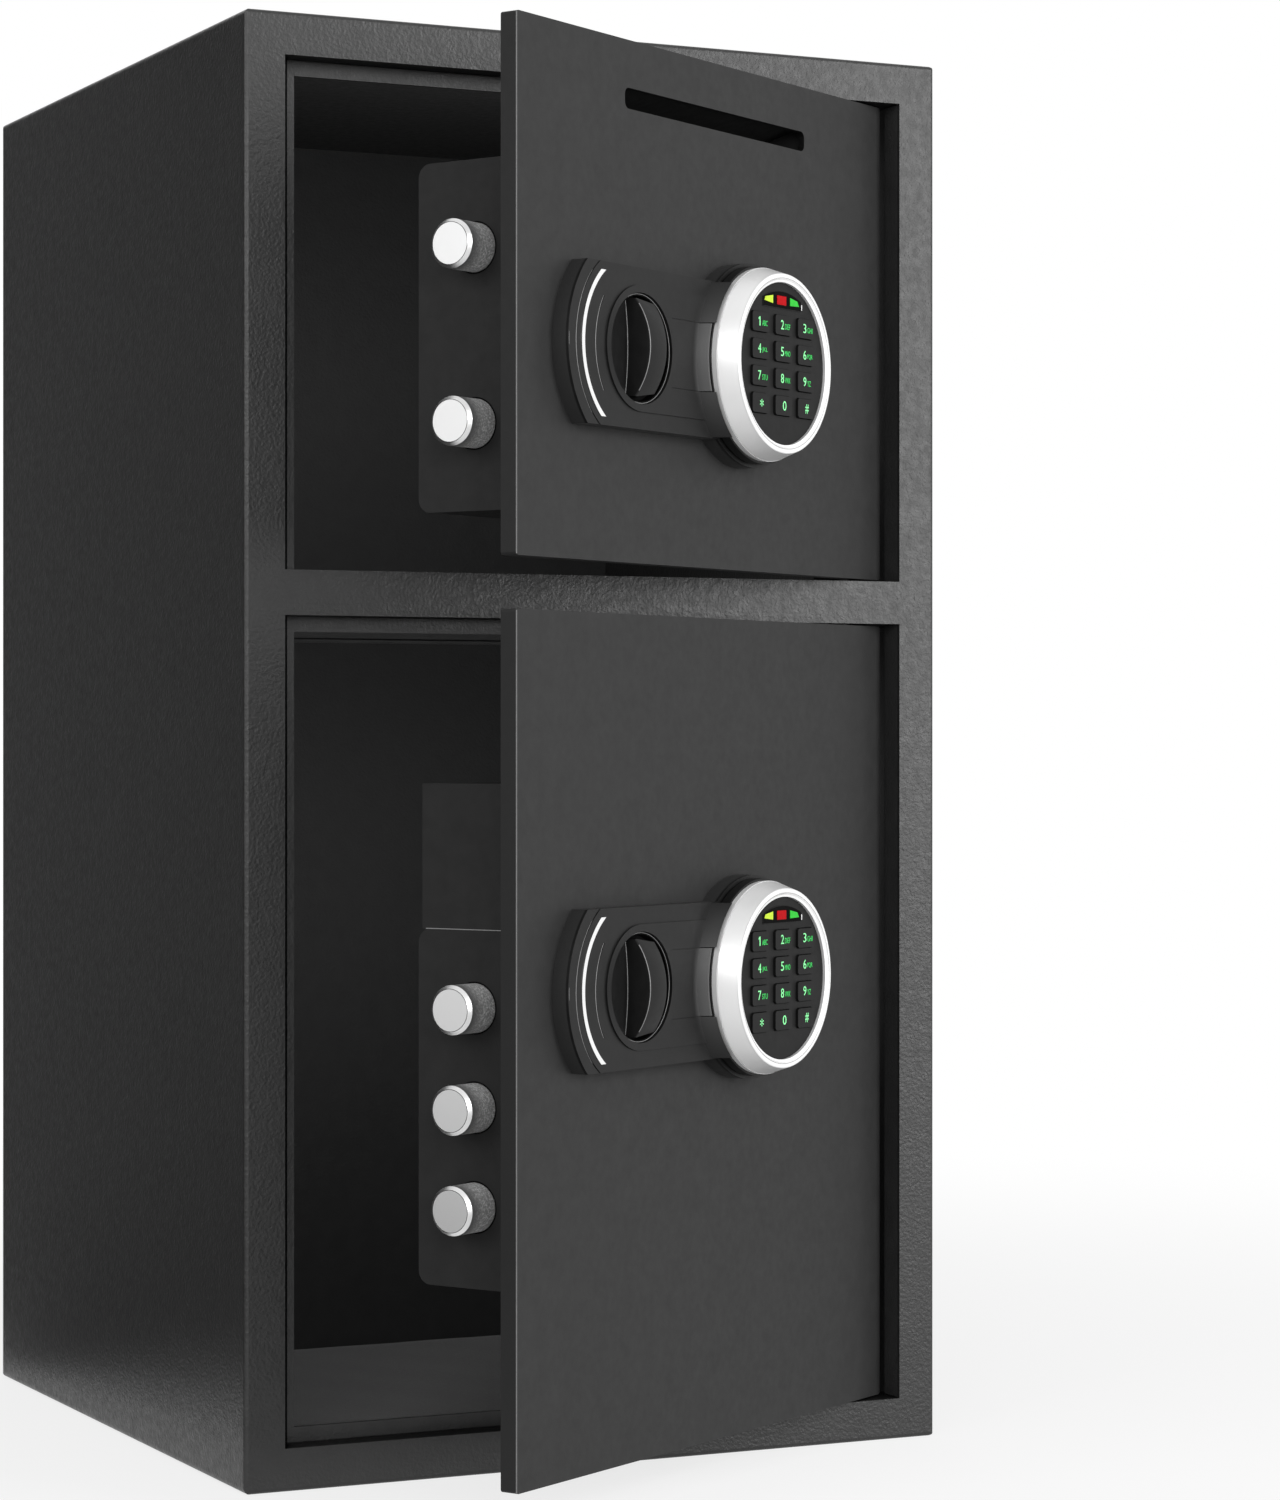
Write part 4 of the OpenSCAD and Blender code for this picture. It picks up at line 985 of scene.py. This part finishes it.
def scoop_mesh(columns=16, steps=36):
    rows = []
    for c in range(columns + 1):
        u = -FIN_HALF_T - (CUP_R - 0.25 - FIN_HALF_T) * c / columns
        half = math.sqrt((CUP_R - 0.05) ** 2 - u * u)
        row = [(u, -half, FOOT_Z), (u, half, FOOT_Z)]
        for s in range(steps + 1):
            z = half * (1 - 2 * s / steps)
            span = math.sqrt(max(CUP_R ** 2 - z * z, 0)) - FIN_HALF_T
            reach = 1.0 if span < 0.05 else min(1.0, (-u - FIN_HALF_T) / span)
            row.append((u, z, scoop_foot(z) + (CUP_RIM - 0.1 - scoop_foot(z)) * reach ** 1.5))
        rows.append(row)
    return skinned(rows)

print("scoop at the fin's middle:", scoop_foot(0), "mm")

# %% Knobs in place
RIM_LINE_R = 23.3
FIN_FOOT_LINE, FIN_CREST_LINE = 20.2, 18.5

def fin_line(u, half, height_at):
    steps = [-half + 2 * half * i / 30 for i in range(31)]
    return [(u, z, height_at(z)) for z in steps]

def on_knob(name, parts, finish, side):
    mesh = shifted(join_meshes(parts), KNOB_U, 0, 0)
    return add_to_door(side, name, mesh, finish, "knob", 40)

for side in SIDES:
    # The cup gets the near-black plastic, a painted shade.
    for piece in (on_knob("turning_knob", [scoop_mesh(), fin_mesh()], knob_plastic, side),
                  on_knob("knob_cup", cup_parts(), painted_shade_plastic, side)):
        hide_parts(side + "_knob")
    # Painted highlights: pale beads on the cup's rim, the fin's foot and its crest.
    rim = [(x, y, CUP_RIM - 0.05) for x, y in circle(RIM_LINE_R, 72)]
    foot = fin_line(-FIN_HALF_T - 0.05, FIN_FOOT_LINE, scoop_foot)
    top = fin_line(-FIN_HALF_T + 0.2, FIN_CREST_LINE, lambda z: crest(z) - 0.2)
    lines = [bead_mesh(rim, 0.16), bead_mesh(foot, 0.24), bead_mesh(top, 0.2)]
    on_knob("knob_edge_highlights", lines, pale_highlight_plastic, side)
print("knobs:", len(SIDES))

# %% [markdown]
# ## The seam between the lower boxes
# The battery box stands on the lock box. Its lower edge is folded sheet that catches the light as a
# fine pale line. A bead of pale plastic along that edge paints that highlight.

# %% Box seam
BOX_END_U = 29.95
SEAM_UP, SEAM_BACK, SEAM_FRONT = 25.1, -68.0, -8.5

# Painted highlight along the battery box's lower edge.
seam = bead_mesh([(BOX_END_U, SEAM_UP, SEAM_BACK), (BOX_END_U, SEAM_UP, SEAM_FRONT)], 0.22)
add_to_door("lower", "box_seam_highlight", seam, pale_highlight_plastic, "door")
print("seam length:", SEAM_FRONT - SEAM_BACK, "mm")

# %% [markdown]
# ## The doors' free edges
# The corner where a door's face turns into its free edge catches the light as a fine pale line. A thin
# bead of pale coat along the corner paints that highlight, hardly proud of the
# panel.

# %% Door edge lines
EDGE_IN, EDGE_SHORT = 0.2, 0.6

for side in SIDES:
    low, high = (corner[2] / MM - LOCK_Z[side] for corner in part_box(side + "_door_panel"))
    ends = [(EDGE_IN, low + EDGE_SHORT, -EDGE_IN), (EDGE_IN, high - EDGE_SHORT, -EDGE_IN)]
    # Painted highlight along the door's free edge.
    add_to_door(side, "door_edge_highlight", bead_mesh(ends, 0.28), painted_highlight_coat, "door")
print("door edge lines:", len(SIDES))

# %% [markdown]
# ## Painted shade rings on the bolts
# A bolt's end is turned in a lathe, which leaves a fine step between the flat face and the bevel round
# it. From a little way off the step's shade reads as a thin dark ring, so each bolt gets a hair-thin
# dark ring there, a painted shade. The rim of each hole in the lock box gets the same kind of painted
# shade ring, for the gap round the bolt, but it stays behind when the bolt moves.

# %% Bolt rings and hole rims
BOLT_DEPTH, RING_R, HOLE_R = 42.5, 9.0, 10.95
BOLT_Z = {"upper": (41.5, -33.0), "lower": (-8.0, -50.2, -92.4)}

def rings_round_bolts(side, u, radius, thick):
    lines = [[(u, z + up, out - BOLT_DEPTH) for out, up in circle(radius, 48)] for z in BOLT_Z[side]]
    return join_meshes([bead_mesh(line, thick) for line in lines])

for side in SIDES:
    rings = rings_round_bolts(side, BOLT_TIP_U, RING_R, 0.13)
    # Painted shade: a thin dark ring at the step on each bolt's end.
    add_to_door(side, "bolt_shade_rings", rings, blacked_steel, "boltwork")
    rims = rings_round_bolts(side, BOX_END_U, HOLE_R, 0.28)
    # Painted shade: a dark ring on the rim of each bolt hole.
    add_to_door(side, "bolt_hole_shade_rims", rims, painted_shade_plastic, "door")
print("bolts with a ring and a rim:", sum(len(places) for places in BOLT_Z.values()))

# %% [markdown]
# ## Felt mats
# Two dark felt mats cover the floors of the compartments. Felt is pressed fibre: it has no weave, its
# edge is soft and its surface speckled. Each mat is a thin grid whose top rises and falls a little,
# with a flat underside, because it lies on steel. The anchor holes of the lower mat are cut through it.

# %% Felt finish
felt = new_finish("felt", grey(36), 0.95, specular=0.2)
principled(felt).inputs["Sheen Weight"].default_value = 0.25
drift_colour(felt, grey(20), grey(54), 1.1, 4.0)
raise_grain(felt, 1.0, 0.25, 4.0)
raise_grain(felt, 0.3, 0.08)
print("felt ready")

# %% A mat with a wavering top
MAT_HALF_X, MAT_Y0, MAT_Y1, MAT_T = 170.0, -141.0, 168.5, 3.0
MAT_COLUMNS, MAT_ROWS = 68, 62
WAVER_DROP, EDGE_DROP, EDGE_WIDTH = 0.25, 0.5, 1.5

def mat_top(x, y):
    """Height of the felt above the steel: a slow waver, thinner at the very edge."""
    inside = min(MAT_HALF_X - abs(x), y - MAT_Y0, MAT_Y1 - y)
    waver = 0.12 * math.sin(x / 23 + 1) * math.sin(y / 31) + 0.08 * math.sin(x / 9 + y / 13)
    return MAT_T - WAVER_DROP + waver - EDGE_DROP * math.exp(-max(inside, 0) / EDGE_WIDTH)

def mat_mesh(z):
    """A grid for the top, a skirt down from its rim and one flat face underneath."""
    shape = bmesh.new()
    bmesh.ops.create_grid(shape, x_segments=MAT_COLUMNS, y_segments=MAT_ROWS, size=0.5)
    for vertex in shape.verts:
        x = vertex.co.x * 2 * MAT_HALF_X
        y = MAT_Y0 + (vertex.co.y + 0.5) * (MAT_Y1 - MAT_Y0)
        vertex.co = (x, y, mat_top(x, y))
    grid, wide = shape.verts[:], MAT_COLUMNS + 1
    rows = [grid[n:n + wide] for n in range(0, len(grid), wide)]
    left, right = [row[0] for row in rows[1:]], [row[-1] for row in rows[-2::-1]]
    rim = left + rows[-1][1:] + right + rows[0][-2::-1]
    foot = [shape.verts.new((vertex.co.x, vertex.co.y, 0)) for vertex in rim]
    for i in range(len(rim)):
        shape.faces.new((rim[i - 1], rim[i], foot[i], foot[i - 1]))
    shape.faces.new(foot)
    bmesh.ops.recalc_face_normals(shape, faces=shape.faces)
    bmesh.ops.scale(shape, vec=(MM, MM, MM), verts=shape.verts)
    bmesh.ops.translate(shape, vec=(0, 0, z * MM), verts=shape.verts)
    return finished_mesh("mat", shape)

print("mat:", 2 * MAT_HALF_X, "x", MAT_Y1 - MAT_Y0, "mm")

# %% Holes for the anchors
ANCHOR_R = 9
ANCHORS = [(x, y) for x in (-100, 100) for y in (-100, 100)]

def with_anchor_holes(mesh):
    """Cuts round holes through a mat with a boolean, and keeps the result as a plain mesh."""
    shape = bmesh.new()
    for x, y in ANCHORS:
        place = Matrix.Translation((x * MM, y * MM, MAT_T * MM))
        bmesh.ops.create_cone(shape, cap_ends=True, segments=32, radius1=ANCHOR_R * MM,
                              radius2=ANCHOR_R * MM, depth=20 * MM, matrix=place)
    cutter = put_in_scene("cutter", finished_mesh("cutter", shape))
    holder = put_in_scene("holder", mesh)
    holder.modifiers.new("cut", "BOOLEAN").object = cutter
    result = mesh_of(holder)
    bpy.data.objects.remove(cutter)
    return result

print("anchor holes:", len(ANCHORS))

# %% Mats in place
mats = {"upper_felt_mat": (mat_mesh(396.0), "divider_shelf"),
        "lower_felt_mat": (with_anchor_holes(mat_mesh(2.0)), "body_shell")}

for name, (mesh, below) in mats.items():
    mat = add_piece(name, mesh, felt, "cabinet", smooth=60)
    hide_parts("floor_mats")
print("mats:", len(mats))
